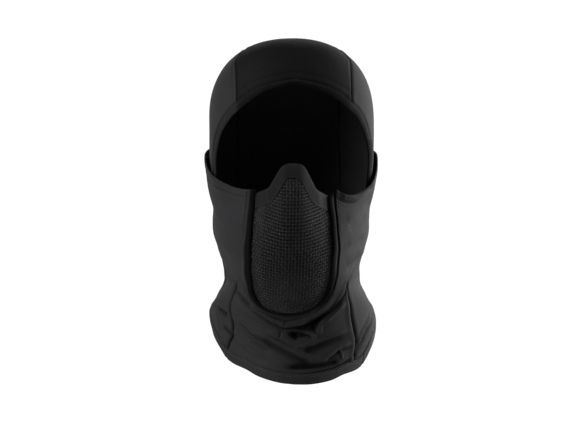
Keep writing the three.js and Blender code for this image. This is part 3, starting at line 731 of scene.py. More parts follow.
def seam_line(distance, depth, width, ridge=0.0, ridge_at=4.0, ridge_width=1.6):
    """A seam sinks at its line, and the cloth folded back behind it shows as a ridge."""
    groove = -depth * bell(distance, width)
    return groove + ridge * bell(distance - ridge_at, ridge_width)


def puckers(distance, run, height, pitch=5.2, reach=5.0):
    """Small gathers square to a seam, fading away from it."""
    turn = run * 2 * np.pi / pitch
    # A slower second wave keeps the gathers from being all alike.
    wave = 0.6 * np.sin(turn) + 0.4 * np.sin(turn / 2.3 + 1.1)
    return height * wave * bell(distance, reach)


def unevenness(p, height, size):
    """A slow rise and fall over the cloth, the same each time, of three crossed waves."""
    x, y, z = p[..., 0] / size, p[..., 1] / size, p[..., 2] / size
    one = np.sin(1.9 * x + 0.8 * z + 1.3) * np.sin(1.3 * y - 1.1 * z + 0.4)
    two = np.sin(3.1 * z - 1.7 * y + 2.2) * np.sin(2.3 * x + 0.6)
    three = np.sin(4.3 * x + 3.7 * z + 0.9) * np.sin(3.9 * y + 1.8)
    return height * (0.5 * one + 0.32 * two + 0.18 * three)


def fold_rows(*rows):
    """Folds: the ridge's width and lift, the dip's depth and width beside it, and the path."""
    names = ("width", "lift", "dip", "dip_width")
    return [dict(zip(names, row[:4]), path=row[4:]) for row in rows]


# All the folds are made this much deeper, and the bottom of a hollow gets this much painted shade.
FOLD_DEPTH = 1.6
HOLLOW_SHADE = 0.85
# A hollow gets painted shade from the first of these depths, and the most at the second.
HOLLOW_FROM = 0.5
HOLLOW_TO = 3.0
# A ridge keeps this share of its height at the ends of its path, and has it all between
# these shares of the path.
RIDGE_END = 0.15
RIDGE_FULL_FROM = 0.22
RIDGE_FULL_TO = 0.8

# Seen from in front, x and z: -x is the wearer's right. The dip lies on the right hand of
# one who walks the path. A hollow is a ridge of negative lift.
NECK_FOLDS = fold_rows(
    # The loop under the point of the chin, and the hollow inside it.
    (
        1.7, 1.7, 1.5, 2.4,
        (-9, -275.6), (0.5, -276), (10, -277), (16.3, -279.2), (18.5, -283), (13, -285.5),
    ),
    (3.2, -1.7, 0, 1, (-1, -279.5), (3.5, -283.5)),
    # Long folds from the wearer's right, falling to the middle.
    (
        1.5, 1.9, 0.7, 5.0,
        (-57.5, -262.5), (-47, -274.4), (-39, -282.3), (-29.6, -288.7), (-20, -294),
    ),
    (
        1.6, 2.3, 1.3, 5.2,
        (-41, -277), (-26.4, -281.5), (-15.3, -287.1), (-2.7, -293.4), (10, -299), (20, -302.5),
    ),
    (2.4, 1.0, 0.5, 5.0, (-60, -272), (-52, -284), (-40, -295), (-24, -304)),
    (1.6, 0.6, 0.3, 4.0, (-52, -254), (-40, -262), (-28, -269), (-18, -276)),
    # The fold that runs up to the left seam, over its dark valley.
    (1.6, 2.4, 1.6, 6.0, (2, -292), (16.3, -287.1), (32.2, -281), (50.5, -275.5)),
    # From the jaw down into the loop.
    (2.2, 1.9, 1.6, 3.0, (49, -247.5), (40, -256.5), (30.6, -265), (24.3, -271.3), (22.5, -280)),
    (2.0, 0.9, 1.2, 2.6, (34, -262), (24, -268.5), (10, -273)),
    # Small ones at the left by the collar, and the hollows along it.
    (1.8, 1.5, 1.3, 2.6, (27, -301.5), (35.3, -296.6), (41.7, -291.8), (54, -287.5)),
    (1.1, 0.9, 0.3, 1.4, (43, -293), (44.8, -303.5)),
    (3.4, -2.2, 0, 1, (-13, -310), (3.7, -310), (22.7, -309), (36, -306.5), (43, -304.5)),
    (1.3, -1.2, 0, 1, (6, -317.6), (22.7, -314.8), (38.5, -310.8), (49.6, -304.5), (57, -297.5)),
    # Beside the right seam of the neck, and up to the jaw.
    (2.8, -1.6, 0, 1, (-68.5, -271), (-63.5, -277), (-57, -282.5)),
    (1.8, 0.9, 0, 1, (-73, -259.5), (-68, -265.5), (-61, -271.5)),
    (4.6, -0.7, 0, 1, (-72, -257), (-68, -260.5), (-63.5, -264)),
    (1.4, 0.8, 0, 1, (-70.7, -250), (-72, -264), (-70.7, -277), (-66, -289.5), (-62, -299)),
    # The short crease where the loop under the chin begins.
    (1.2, -0.7, 0, 1, (-13, -275.5), (-14.2, -283)),
    # A hollow where the right of the jaw ends, and the folds under it.
    (5.0, -1.7, 0, 1, (-63, -218), (-63.9, -231)),
    (1.7, 0.9, 1.0, 3.4, (-74, -246), (-67, -252), (-59, -260.5)),
    (2.4, -1.2, 0, 1, (-55, -236), (-48, -246), (-39, -254)),
    # The left of the neck: the hollow behind the collar's corner.
    (2.0, -2.0, 0, 1, (56, -298), (61, -289), (67.5, -277), (75.5, -261)),
    (2.2, 1.0, 0.6, 2.4, (73.5, -262), (65, -278), (57.5, -293)),
    # Soft folds over the left cheek, up to the ear.
    (4.6, 0.7, 0.5, 4.0, (48, -173), (58, -167), (69, -159)),
    (4.6, 0.7, 0.5, 4.0, (49, -196), (58, -189), (67, -180)),
    (4.0, 0.8, 0.6, 3.6, (48, -214), (56, -208), (64, -198)),
    # A short one over the right cheek, under its hem.
    (1.5, 0.7, 0.5, 2.0, (-74, -138.5), (-66, -145), (-57, -152)),
    # The deep hollow under the left half of the jaw.
    (5.0, -2.6, 0, 1, (-9, -279), (6, -276), (18, -271), (30, -264)),
)


def path_places(drawn, path):
    """How far points lie from a path, on which side of it, and how far along it."""
    line = Edge.curve(np.asarray(path, float), steps=10)
    begin = line[:-1]
    way = np.diff(line, axis=0)
    away = drawn.reshape(-1, 1, 2) - begin
    share = np.clip(np.sum(away * way, -1) / np.sum(way * way, -1), 0, 1)
    gap = away - share[..., None] * way
    size = np.linalg.norm(gap, axis=-1)
    nearest = np.argmin(size, axis=1)
    pick = np.arange(len(nearest))
    near_way, near_gap = way[nearest], gap[pick, nearest]
    side = np.sign(near_way[:, 0] * near_gap[:, 1] - near_way[:, 1] * near_gap[:, 0])
    distance = size[pick, nearest]
    along = (nearest + share[pick, nearest]) / len(way)
    shape = drawn.shape[:-1]
    return distance.reshape(shape), side.reshape(shape), along.reshape(shape)


def front_path(path):
    """A path of the front view, as it is drawn on the cover."""
    points = np.array(path, float)
    return on_cover_front(points[:, 0], points[:, 1])


def fold_lift(drawn):
    """How the folds of the neck lift and sink the cover."""
    total = np.zeros(drawn.shape[:-1])
    for fold in NECK_FOLDS:
        distance, side, along = path_places(drawn, front_path(fold["path"]))
        fade = smoothstep(along, 0, RIDGE_FULL_FROM) * (1 - smoothstep(along, RIDGE_FULL_TO, 1))
        ridge = fold["lift"] * bell(distance, fold["width"])
        beside = -side * distance - fold["width"] - 0.6 * fold["dip_width"]
        dip = fold["dip"] * bell(beside, fold["dip_width"])
        total += ridge * (RIDGE_END + (1 - RIDGE_END) * fade) - dip * fade
    return FOLD_DEPTH * total


# ---------------------------------------------------------------- hood layer

HOOD_FOOT_BACK_Z = -136
STRAP_FOOT_ANGLE = 100
STRAP_FOOT_Z = -158
NAPE_ANGLE = 155
TEMPLE_CELLS = 10
BROW_CELLS = 12
CROWN_CELLS = 11
EDGE_POINTS = 480
OVER_CROWN_POINTS = 41
DOWN_NAPE_POINTS = 13
ACROSS_NAPE_POINTS = 25
# Points start this far out, or are worked over this often, to lie on the skin in the end.
OUTSIDE = 100.0
SETTLING_ROUNDS = 14
# A second row of stitches holds the brow's turned-in cloth, this far up the crown.
BROW_STITCHES = 8
# Behind it the crown ripples a little, most to the wearer's right of the middle.
BROW_RIPPLE = 0.34
RIPPLE_PITCH = 4.6
RIPPLE_MIDDLE = (-18, 12)
RIPPLE_REACH = (20, 9)
# The seam allowance behind a crown seam reaches this far into the side panel.
ALLOWANCE = 5.2
ALLOWANCE_HEIGHT = {-1: 0.3, 1: 0.62}
FACE_HEM_CLOTH_WIDTH = 6.5


def hood_cloth(grid):
    """A cloth on the hood's skin."""
    points = HOOD.drop(grid)
    return Cloth(points, HOOD.facing(points))


def seam_points(side, y, z):
    """Points of a crown seam, which is nearer the middle over the top of the head."""
    turn = np.degrees(np.arctan2(y, z - HOOD_DOME_Z))
    inward = smoothstep(turn, -38, 0) - 0.5 * smoothstep(turn, 10, 80)
    x = side * (CROWN_SEAM_X - CROWN_SEAM_IN * inward)
    p = np.stack(np.broadcast_arrays(x, y, z), -1).astype(float)
    for _ in range(SETTLING_ROUNDS):
        p = HOOD.drop(p)
        p[..., 0] = x
    return HOOD.drop(p)


def crown_seam(side, front):
    """A crown seam in two stretches: over the crown, and down the nape."""
    start_turn = math.atan2(-front[1], front[2] - HOOD_DOME_Z)
    turns = np.linspace(-start_turn, math.pi / 2, OVER_CROWN_POINTS)[1:]
    over_z = HOOD_DOME_Z + np.cos(turns) * OUTSIDE
    over = seam_points(side, np.sin(turns) * OUTSIDE, over_z)
    down_z = np.linspace(HOOD_DOME_Z, HOOD_FOOT_BACK_Z, DOWN_NAPE_POINTS)[1:]
    down = seam_points(side, OUTSIDE, down_z)
    return (
        Edge(np.vstack([front, over]), smooth=False),
        Edge(np.vstack([over[-1:], down]), smooth=False),
    )


def face_edges():
    """The edge of the face opening and its hem's seam, in three stretches each."""
    angles, heights = FACE_EDGE["angle"], FACE_EDGE["z"]
    half = HOOD.place(angles, heights)
    other = HOOD.place(-angles, heights)
    whole = Edge(np.vstack([other[:0:-1], half]))(np.linspace(0, 1, EDGE_POINTS + 1))
    along = unit(np.gradient(whole, axis=0))
    sideways = unit(np.cross(HOOD.facing(whole), along))
    towards_temple = smoothstep(np.abs(whole[:, 0]), 5, 45)
    width = FACE_HEM_BROW + (FACE_HEM_TEMPLE - FACE_HEM_BROW) * towards_temple
    seam = HOOD.drop(whole + sideways * width[:, None])
    # The stretches meet where the crown seams come down to the hem.
    cut = int(np.argmax((seam[:, 0] > -CROWN_SEAM_X) & (seam[:, 2] > -90)))
    spans = [(0, cut), (cut, EDGE_POINTS - cut), (EDGE_POINTS - cut, EDGE_POINTS)]
    edge_parts = [Edge(whole[a : b + 1], smooth=False) for a, b in spans]
    seam_parts = [Edge(seam[a : b + 1], smooth=False) for a, b in spans]
    return edge_parts, seam_parts


def hem_grid(inner, outer, across):
    """Points of a hem from its one edge to its other, and their shares across it."""
    grid = inner[:, None] + (outer - inner)[:, None] * across[None, :, None]
    return grid, across[None, :] * np.ones((len(inner), 1))


def build_crown(seams, front):
    """The dark strip over the top of the head, from the brow to the nape."""

    def whole_seam(side):
        over, down = seams[side]
        return joined((over, CROWN_CELLS), (down, TEMPLE_CELLS))

    corners = [seams[side][1].line[-1] for side in (-1, 1)]
    t = np.linspace(0, 1, ACROSS_NAPE_POINTS)[:, None]
    nape = Edge(HOOD.drop(corners[0] * (1 - t) + corners[1] * t), smooth=False)
    over, down = seams[1]
    s = shares([(over.length, CROWN_CELLS), (down.length, TEMPLE_CELLS)], 2.0, 1.1)
    t = steps(front.length, 1.9, 1.1)
    crown = hood_cloth(coons(whole_seam(-1), whole_seam(1), front, nape, s, t))
    brow = crown.start
    sides = np.minimum(crown.low, crown.high)
    second_row = np.abs(brow - BROW_STITCHES)
    x = crown.flat[..., 0]
    ripple = BROW_RIPPLE * np.sin(brow * 2 * np.pi / RIPPLE_PITCH + x * 0.03)
    ripple *= bell(brow - RIPPLE_MIDDLE[1], RIPPLE_REACH[1])
    ripple *= bell(x - RIPPLE_MIDDLE[0], RIPPLE_REACH[0])
    crown.lift(
        seam_line(sides, 0.75, 1.3, 0.22, 3.6)
        + seam_line(brow, 0.6, 1.2, 0.3, 3.4, 1.8)
        + seam_line(second_row, 0.45, 1.0)
        + puckers(brow - 0.6 * BROW_STITCHES, crown.low, 0.16, 4.4, 4)
        + puckers(sides, crown.run, 0.07)
        + puckers(brow, crown.low, 0.08)
        + unevenness(crown.flat, 0.35, 34)
        + ripple
    )
    # Painted shade along its seams and the row of stitches behind the brow.
    return crown.mark(sides, 0.8).mark(brow, 0.7, 0.7).mark(second_row, 0.7, 0.6)


def build_hood_side(side, seam, temple, temple_length):
    """A side panel of the hood, which goes on as a strap inside the cheek panel."""
    over, down = seam
    nape = down.line[-1]
    middle_angle = side * (STRAP_FOOT_ANGLE + NAPE_ANGLE) / 2
    low = Edge(
        [
            temple(np.array(0.0)),
            HOOD.place(side * STRAP_FOOT_ANGLE, STRAP_FOOT_Z),
            HOOD.place(middle_angle, (STRAP_FOOT_Z + nape[2]) / 2),
            nape,
        ]
    )
    s = steps(over.length, 2.1, 1.1)
    t = steps(temple_length, 2.0, 1.1)
    panel = hood_cloth(coons(low, over, temple, back(down), s, t))
    # The seam allowance is stitched down behind the crown seam and shows as a strip.
    seam_edge = smoothstep(panel.high, 0.9, 1.7)
    strip = seam_edge * (1 - smoothstep(panel.high, ALLOWANCE - 0.9, ALLOWANCE - 0.1))
    strip_edge = np.abs(panel.high - ALLOWANCE)
    panel.lift(
        ALLOWANCE_HEIGHT[side] * strip
        + seam_line(strip_edge, 0.28, 0.7)
        + seam_line(np.minimum(panel.high, panel.end), 0.7, 1.1)
        + seam_line(panel.start, 0.55, 1.2, 0.3, 3.2, 1.6)
        + puckers(panel.high, panel.run, 0.06)
        + puckers(panel.start, panel.low, 0.08)
        + unevenness(panel.flat, 0.4, 30)
    )
    # It is a little fuller over the ear.
    fuller = smoothstep(np.abs(panel.flat[..., 0]), 58, 72) * bell(panel.flat[..., 2] + 115, 38)
    panel.lift(0.9 * fuller)
    # Painted shade along the crown seam, the edge of the seam allowance and the seam at the temple.
    return panel.mark(np.minimum(panel.high, strip_edge + 0.3), 0.7).mark(panel.start, 0.7, 0.8)


def build_face_hem(seam_parts, edge_parts):
    """The folded hem round the brow and down both temples."""
    cells = (TEMPLE_CELLS, BROW_CELLS, TEMPLE_CELLS)
    s = shares([(part.length, count) for part, count in zip(seam_parts, cells)], 1.7, 1.2)
    inner = joined(*zip(seam_parts, cells))(s)
    outer = joined(*zip(edge_parts, cells))(s)
    grid, share = hem_grid(inner, outer, steps(FACE_HEM_CLOTH_WIDTH, 0.8, 0.8))
    hem = hood_cloth(grid)
    x, z = hem.flat[..., 0], hem.flat[..., 2]
    hem.lift(
        0.12 * np.sin(np.pi * share) ** 0.8
        + seam_line(hem.low, 0.5, 0.9)
        - 0.5 * smoothstep(share, 0.72, 1.0)
        - 1.2 * share**1.5 * smoothstep(x, 46, 66)
        + puckers(hem.low, hem.run, 0.1, 3.6, 3.5)
        + unevenness(hem.flat, 0.2, 18)
    )
    # Over the brow it is cut from the crown's dark cloth, and the left temple has painted shade.
    over_brow = 1 - smoothstep(np.abs(x), CROWN_SEAM_X - 3, CROWN_SEAM_X + 1)
    low_down = smoothstep(-z, 78, 100)
    hem.paint_shade(0.8 * over_brow)
    hem.paint_shade(0.9 * smoothstep(x, 44, 58) * np.maximum(low_down, share))
    # Painted shade along its seam.
    return hem.mark(hem.low, 0.7, 0.8)


def build_hood():
    """The cloths of the hood's layer: the crown, the sides and the face hem."""
    edge_parts, seam_parts = face_edges()
    right_seam, front, left_seam = seam_parts
    fronts = {-1: front.line[0], 1: front.line[-1]}
    seams = {side: crown_seam(side, fronts[side]) for side in (-1, 1)}
    temples = {-1: right_seam, 1: back(left_seam)}
    made = {"crown": build_crown(seams, front)}
    for side in (-1, 1):
        panel = build_hood_side(side, seams[side], temples[side], right_seam.length)
        made["side", side] = panel
    made["face_hem"] = build_face_hem(seam_parts, edge_parts)
    return made


# ---------------------------------------------------------------- cover layer

# Edges that meet in one panel share its cells like this. The lengths only set how fine the
# cells are.
CHEEK_TOP_CELLS = 18
CHEEK_FRONT_CELLS = 12
OPENING_CELLS = 16
JAW_CELLS = 21
CHIN_CELLS = 9
TOP_POINTS = 181
COLLAR_POINTS = 60
CHIN_HALVES = (70, 78)
CHEEK_HEIGHT = 62
NECK_HEIGHT = 60
BIB_HEIGHT = 62
OPENING_HEM_WIDTH = 6
OPENING_HEM_LENGTH = 300
OPENING_HEM_ROWS = 26


def cover_cloth(drawn, ring=False):
    """A cloth on the cover's skin, with the folds that run over it."""
    flat = COVER.place(drawn[..., 0] / GIRTH_PER_DEGREE, drawn[..., 1])
    facing = COVER.facing(flat)
    cloth = Cloth(flat, facing, ring)
    folds = fold_lift(drawn)
    cloth.lift(folds + cover_lift(drawn, flat))
    # Little light reaches the bottom of a fold, so its colour is darkened there with painted shade.
    cloth.paint_shade(HOLLOW_SHADE * smoothstep(-folds, HOLLOW_FROM, HOLLOW_TO))
    return cloth


# The collar hangs out a little, and lower, towards the wearer's left.
COLLAR_LEAN = 1.8
COLLAR_TILT = -4.2
RIGHT_CHEEK_FULLER = 0.8


def cover_lift(drawn, flat):
    """What the whole cover has in common besides its folds: a slow rise and fall."""
    aside = np.sin(np.radians(drawn[..., 0] / GIRTH_PER_DEGREE))
    leaning = COLLAR_LEAN * aside * smoothstep(-flat[..., 2], 250, 278)
    full = RIGHT_CHEEK_FULLER * smoothstep(-aside, 0.6, 1) * bell(flat[..., 2] + 178, 24)
    return unevenness(flat, 0.45, 26) + tension_lines(drawn) + leaning + full


# Long soft creases that the pull of the mask leaves in the cheeks, by angle and height.
TENSION_ROWS = [
    dict(width=3.0, lift=0.9, path=((76, -135.5), (62, -143), (48, -153))),
    dict(width=4.0, lift=0.7, path=((84, -160), (66, -170), (46, -176))),
    dict(width=4.5, lift=0.6, path=((76, -196), (60, -203), (44, -206))),
    dict(width=5.0, lift=0.9, path=((110, -150), (98, -172), (84, -196))),
    dict(width=5.0, lift=1.0, path=((128, -150), (120, -180), (106, -212), (96, -240))),
    dict(width=6.0, lift=1.1, path=((160, -150), (156, -190), (146, -230), (140, -262))),
    dict(width=4.5, lift=0.9, path=((84, -214), (88, -232), (96, -248))),
    dict(width=5.0, lift=1.2, path=((100, -222), (130, -234), (165, -236), (179, -237))),
    dict(width=5.0, lift=1.0, path=((110, -206), (140, -214), (179, -215))),
]


def tension_lines(drawn):
    """How the long creases lift the cover, the same on both sides."""
    total = np.zeros(drawn.shape[:-1])
    for row in TENSION_ROWS:
        for side in (-1, 1):
            path = [(side * angle * GIRTH_PER_DEGREE, z) for angle, z in row["path"]]
            distance, _, along = path_places(drawn, path)
            fade = smoothstep(along, 0, 0.3) * (1 - smoothstep(along, 0.7, 1))
            ridge = bell(distance, row["width"])
            dip = 0.5 * bell(distance - 2.2 * row["width"], row["width"])
            total += row["lift"] * fade * (ridge - dip)
    return total


def drawn_edge(rows, side):
    """An edge on the cover from a table of angles and heights."""
    return Edge(on_cover(side * rows["angle"], rows["z"]))


def front_edge(x, z):
    """An edge on the cover from the x and z of the front view."""
    return Edge(on_cover_front(x, z))


def opening_edge(side, which):
    """One side of the mask opening, its inner or its outer edge, with the chin's twist."""
    z = MASK_OPENING[which + "_z"]
    x = side * MASK_OPENING[which + "_x"] + read(CHIN_TWIST, "z", z)["shift"]
    return front_edge(x, z)


def collar_z(angle):
    """Height of the collar's foot. It tilts over the front, and no further."""
    level = read(COLLAR, "angle", np.abs(angle))["z"]
    over_front = 1 - smoothstep(np.abs(angle), 50, 85)
    return level + COLLAR_TILT * np.sin(np.radians(angle)) * over_front


def offset_edge(edge, width):
    """Points of an edge moved sideways over the drawn cloth."""
    p = edge(np.linspace(0, 1, TOP_POINTS))
    along = unit(np.gradient(p, axis=0))
    return p + width * np.stack([-along[:, 1], along[:, 0]], -1)


def cover_edges(side):
    """Every edge of the cover on one side of the head."""
    top = drawn_edge(CHEEK_TOP_LEFT if side > 0 else CHEEK_TOP_RIGHT, side)
    stitched = offset_edge(top, -side * CHEEK_HEM)
    line = opening_edge(side, "outer").line
    # The hem's seam starts at the corner where it meets the edge of the mask opening.
    below = int(np.argmax(line[:, 1] < stitched[0, 1]))
    share = (line[below - 1, 1] - stitched[0, 1]) / (line[below - 1, 1] - line[below, 1])
    corner = line[below - 1] + (line[below] - line[below - 1]) * share
    stitched[0] = corner
    keep = np.abs(stitched[:, 0]) > abs(corner[0]) + 2
    stitched = np.vstack([corner, stitched[keep]])
    stitched[-1, 0] = top.line[-1, 0]
    # Every edge is brought to the exact point that it shares with its neighbour.
    top_points = top(np.linspace(0, 1, TOP_POINTS))
    top_points[0] = line[0]
    seam = NECK_SEAM_LEFT if side > 0 else NECK_SEAM_RIGHT
    neck_points = on_cover(side * seam["angle"], seam["z"])
    jaw_rows = JAW_SEAM_LEFT if side > 0 else JAW_SEAM_RIGHT
    jaw_points = on_cover(side * jaw_rows["angle"], jaw_rows["z"])
    jaw_points[0] = neck_points[-1]
    jaw = Edge(jaw_points)
    chin_rows = CHIN_SEAM_RIGHT if side < 0 else CHIN_SEAM_LEFT
    chin_points = on_cover_front(chin_rows["x"], chin_rows["z"])
    chin_points[0] = jaw.line[0]
    angles = np.linspace(seam["angle"][0], 180, COLLAR_POINTS)
    collar = Edge(on_cover(side * angles, collar_z(side * angles) + COLLAR_HEM), smooth=False)
    neck_points[0] = collar.line[0]
    return dict(
        top=Edge(top_points, smooth=False),
        stitched=Edge(stitched, smooth=False),
        opening_top=Edge(np.vstack([line[:below], corner]), smooth=False),
        opening=Edge(np.vstack([corner, line[below:]]), smooth=False),
        jaw=jaw,
        chin=Edge(chin_points),
        collar=collar,
        neck=Edge(neck_points),
    )


def neck_groove(distance, from_collar, ridge):
    """The deep seam down each side of the neck. It runs out flat at the collar."""
    depth = 0.4 + 2.4 * smoothstep(from_collar, 0.5, 7)
    return depth * seam_line(distance, 1, 1.3) + seam_line(distance, 0, 1, ridge, 4.8, 3.4)


def straight(start, end):
    """A straight edge between two points."""
    return Edge(np.vstack([start, end]), smooth=False)


# The collar hem is joined end to end at this angle, on both sides.
COLLAR_JOINT = 56


def build_cheek(side, e):
    """A cheek panel, from the nape over the ear to the chin."""
    low = joined((back(e["jaw"]), JAW_CELLS), (e["chin"], CHIN_CELLS))
    high = joined((back(e["stitched"]), CHEEK_TOP_CELLS), (e["opening"], CHEEK_FRONT_CELLS))
    start = straight(e["jaw"].line[-1], e["stitched"].line[-1])
    end = straight(e["chin"].line[-1], e["opening"].line[-1])
    s = shares([(e["jaw"].length, JAW_CELLS), (e["chin"].length, CHIN_CELLS)], 1.9, 1.1)
    t = steps(CHEEK_HEIGHT, 1.8, 1.1)
    cheek = cover_cloth(coons(low, high, start, end, s, t))
    on_chin = smoothstep(s, 0.66, 0.76)[:, None]
    jaw_line = seam_line(cheek.low, 0.9, 1.6, 0.4, 4.4, 2.0)
    # Two folds of the seam allowance show behind the seam of the chin.
    chin_line = seam_line(cheek.low, 0.5, 0.8, 1.3, 3.4, 2.8)
    chin_line += seam_line(cheek.low, 0, 1, 0.7, 1.7, 0.9)
    cheek.lift(
        jaw_line * (1 - on_chin)
        + chin_line * on_chin
        + seam_line(cheek.high, 0.6 if side > 0 else 0.35, 1.1, 0.25, 3.2, 1.5)
        + seam_line(np.minimum(cheek.start, cheek.end), 0.5, 1.1)
        + puckers(cheek.low, cheek.run, 0.12)
        + puckers(cheek.high, cheek.run, 0.1, 4.4)
    )
    # Painted shade goes along the seams. The right cheek's hem lies flat, and its seam gets painted
    # shade only beside the mask.
    beside_mask = smoothstep(-cheek.flat[..., 2], 150, 175)
    cheek.mark(cheek.low, 0.8, 0.9)
    return cheek.mark(cheek.high, 0.8, 0.9 if side > 0 else 0.25 + 0.7 * beside_mask)


def build_cheek_hem(side, e):
    """The hem along a cheek's top. The left one is rolled, and bunched by the mask."""
    s = steps(e["stitched"].length, 1.8, 1.2)
    grid, share = hem_grid(e["stitched"](s), e["top"](s), steps(CHEEK_HEM, 0.8, 0.8))
    hem = cover_cloth(grid)
    run = hem.run
    bunched = 0 * run
    rolled = 0.15
    if side > 0:
        bunched = bell(run - 8, 10)
        rolled = 1.9 * smoothstep(run, 14, 26) * (1 - smoothstep(run, 60, 85))
    lumps = bunched * (1.3 * np.sin(run * 1.25) * np.sin(np.pi * share) - 0.8 * share)
    hem.lift(
        (0.3 + rolled) * np.sin(np.pi * share) ** 0.8
        + seam_line(hem.low, 0.6 + rolled, 0.9)
        + puckers(hem.low, run, 0.14, 4.1, 4)
        + unevenness(hem.flat, 0.3, 11)
        + lumps
    )
    # Painted shade along its seam, and over the bunched corner by the mask.
    return hem.mark(hem.low, 0.8, 0.9 if side > 0 else 0.2).paint_shade(0.9 * bunched)


def build_neck(side, e):
    """A neck panel, from its seam beside the bib round to the nape."""
    nape = straight(e["collar"].line[-1], e["jaw"].line[-1])
    s = steps(e["jaw"].length, 1.9, 1.1)
    t = steps(NECK_HEIGHT, 1.8, 1.1)
    neck = cover_cloth(coons(e["collar"], e["jaw"], e["neck"], nape, s, t))
    neck.lift(
        seam_line(neck.high, 1.2, 1.8, 0.3, 4.6, 2.2)
        + neck_groove(neck.start, neck.low, 0.3)
        + seam_line(neck.end, 0.5, 1.1)
        + seam_line(neck.low, 0.6, 1.2, 0.3, 3.6, 1.8)
        + puckers(neck.high, neck.run, 0.14)
        + puckers(neck.low, neck.run, 0.14)
    )
    # Painted shade along its seams, darkest down the side of the neck.
    neck.mark(neck.start, 1.8 if side > 0 else 2.1)
    return neck.mark(neck.high, 0.7, 0.6).mark(neck.low, 0.7, 0.5)


def build_bib(edges, front_top):
    """The front of the neck, under the chin. Its seams are deeper towards the left."""
    low = joined((edges[-1]["chin"], CHIN_CELLS), (back(edges[1]["chin"]), CHIN_CELLS))
    s = shares([(length, CHIN_CELLS) for length in CHIN_HALVES], 0.85, 0.85)
    t = steps(BIB_HEIGHT, 0.8, 0.8)
    bib = cover_cloth(coons(front_top, low, edges[-1]["neck"], edges[1]["neck"], s, t))
    under_chin = seam_line(bib.high, 2.2, 3.0) * (1 + 0.5 * smoothstep(bib.start, 70, 100))
    over_collar = seam_line(bib.low, 0.6, 1.2, 0.3, 3.6, 1.8)
    bib.lift(
        neck_groove(bib.start, bib.low, 0.4)
        + neck_groove(bib.end, bib.low, 1.0)
        + under_chin
        + over_collar * (0.25 + 0.75 * smoothstep(bib.start, 40, 75))
        + puckers(bib.low, bib.run, 0.14)
        + puckers(bib.high, bib.run, 0.16)
    )
    # Painted shade along its seams, and a broad painted shadow under the chin seam on the left.
    shadow_on_left = smoothstep(bib.start, 58, 90) * smoothstep(bib.end, 4, 20)
    bib.mark(bib.start, 1.7).mark(bib.end, 1.9).mark(bib.high, 1.3)
    bib.mark(bib.high, 7, 0.5 * shadow_on_left)
    return bib.mark(bib.low, 0.8, 0.1 + 0.8 * smoothstep(bib.start, 60, 95))


def build_collar(edges, front_top):
    """The hem round the bottom of the collar, in one ring."""
    right, left = edges[-1]["collar"], edges[1]["collar"]
    cells = (JAW_CELLS, 2 * CHIN_CELLS, JAW_CELLS)
    lengths = (left.length, front_top.length, left.length)
    s = shares(list(zip(lengths, cells)), 1.7, 5)[:-1]
    ring_top = joined(*zip((back(right), front_top, left), cells))(s)
    around = ring_top[:, 0]
    ring_foot = np.stack([around, collar_z(around / GIRTH_PER_DEGREE)], -1)
    grid, share = hem_grid(ring_top, ring_foot, steps(COLLAR_HEM, 0.9, 0.9))
    collar = cover_cloth(grid, ring=True)
    # Its stitches draw it in at the left and at the far right.
    aside = collar.flat[..., 0]
    drawn_in = 0.25 + 0.75 * (smoothstep(aside, -20, 20) + smoothstep(-aside, 50, 62))
    from_joint = np.abs(np.abs(grid[..., 0]) - COLLAR_JOINT * GIRTH_PER_DEGREE)
    collar.lift(
        0.35 * np.sin(np.pi * share) ** 0.8
        + seam_line(collar.low, 0.6, 1.0) * drawn_in
        + puckers(collar.low, collar.run, 0.16, 4.3, 5)
        + seam_line(from_joint, 0.6, 0.8, 0.25, 2.4, 1.2)
        + unevenness(collar.flat, 0.35, 12)
    )
    # Painted shade along its seam, most where it is drawn in.
    return collar.mark(collar.low, 0.7, 0.5 * drawn_in)


def build_cover():
    """The cloths of the cover's layer, over the cheeks, the chin and the neck."""
    edges = {side: cover_edges(side) for side in (-1, 1)}
    made = {}
    for side in (-1, 1):
        made["cheek", side] = build_cheek(side, edges[side])
        made["cheek_hem", side] = build_cheek_hem(side, edges[side])
        made["neck", side] = build_neck(side, edges[side])
    seams = (-NECK_SEAM_RIGHT["angle"][0], NECK_SEAM_LEFT["angle"][0])
    angles = np.linspace(*seams, COLLAR_POINTS)
    front_top = Edge(on_cover(angles, collar_z(angles) + COLLAR_HEM), smooth=False)
    made["bib"] = build_bib(edges, front_top)
    made["collar"] = build_collar(edges, front_top)
    made["opening_hem"] = build_opening_hem(edges)
    return made


# The rolled hem of the mask opening, from its seam over its ridge to the lip turned in.
# The wearer's left side is drawn in by a second row of stitches, and sinks to its lip.
OPENING_PROFILE = table(
    "share height left_height",
    (0.0, -0.3, -0.3),
    (0.08, 0.1, 0.4),
    (0.18, 0.4, 0.5),
    (0.3, 0.8, -0.9),
    (0.4, 1.1, -1.3),
    (0.5, 1.15, -0.5),
    (0.66, 0.6, 0.0),
    (0.82, -0.2, -0.3),
    (0.92, -0.8, -0.8),
    (0.98, -1.4, -1.4),
    (1.0, -2.0, -2.0),
    (0.995, -2.6, -2.6),
    (0.96, -3.1, -3.2),
)


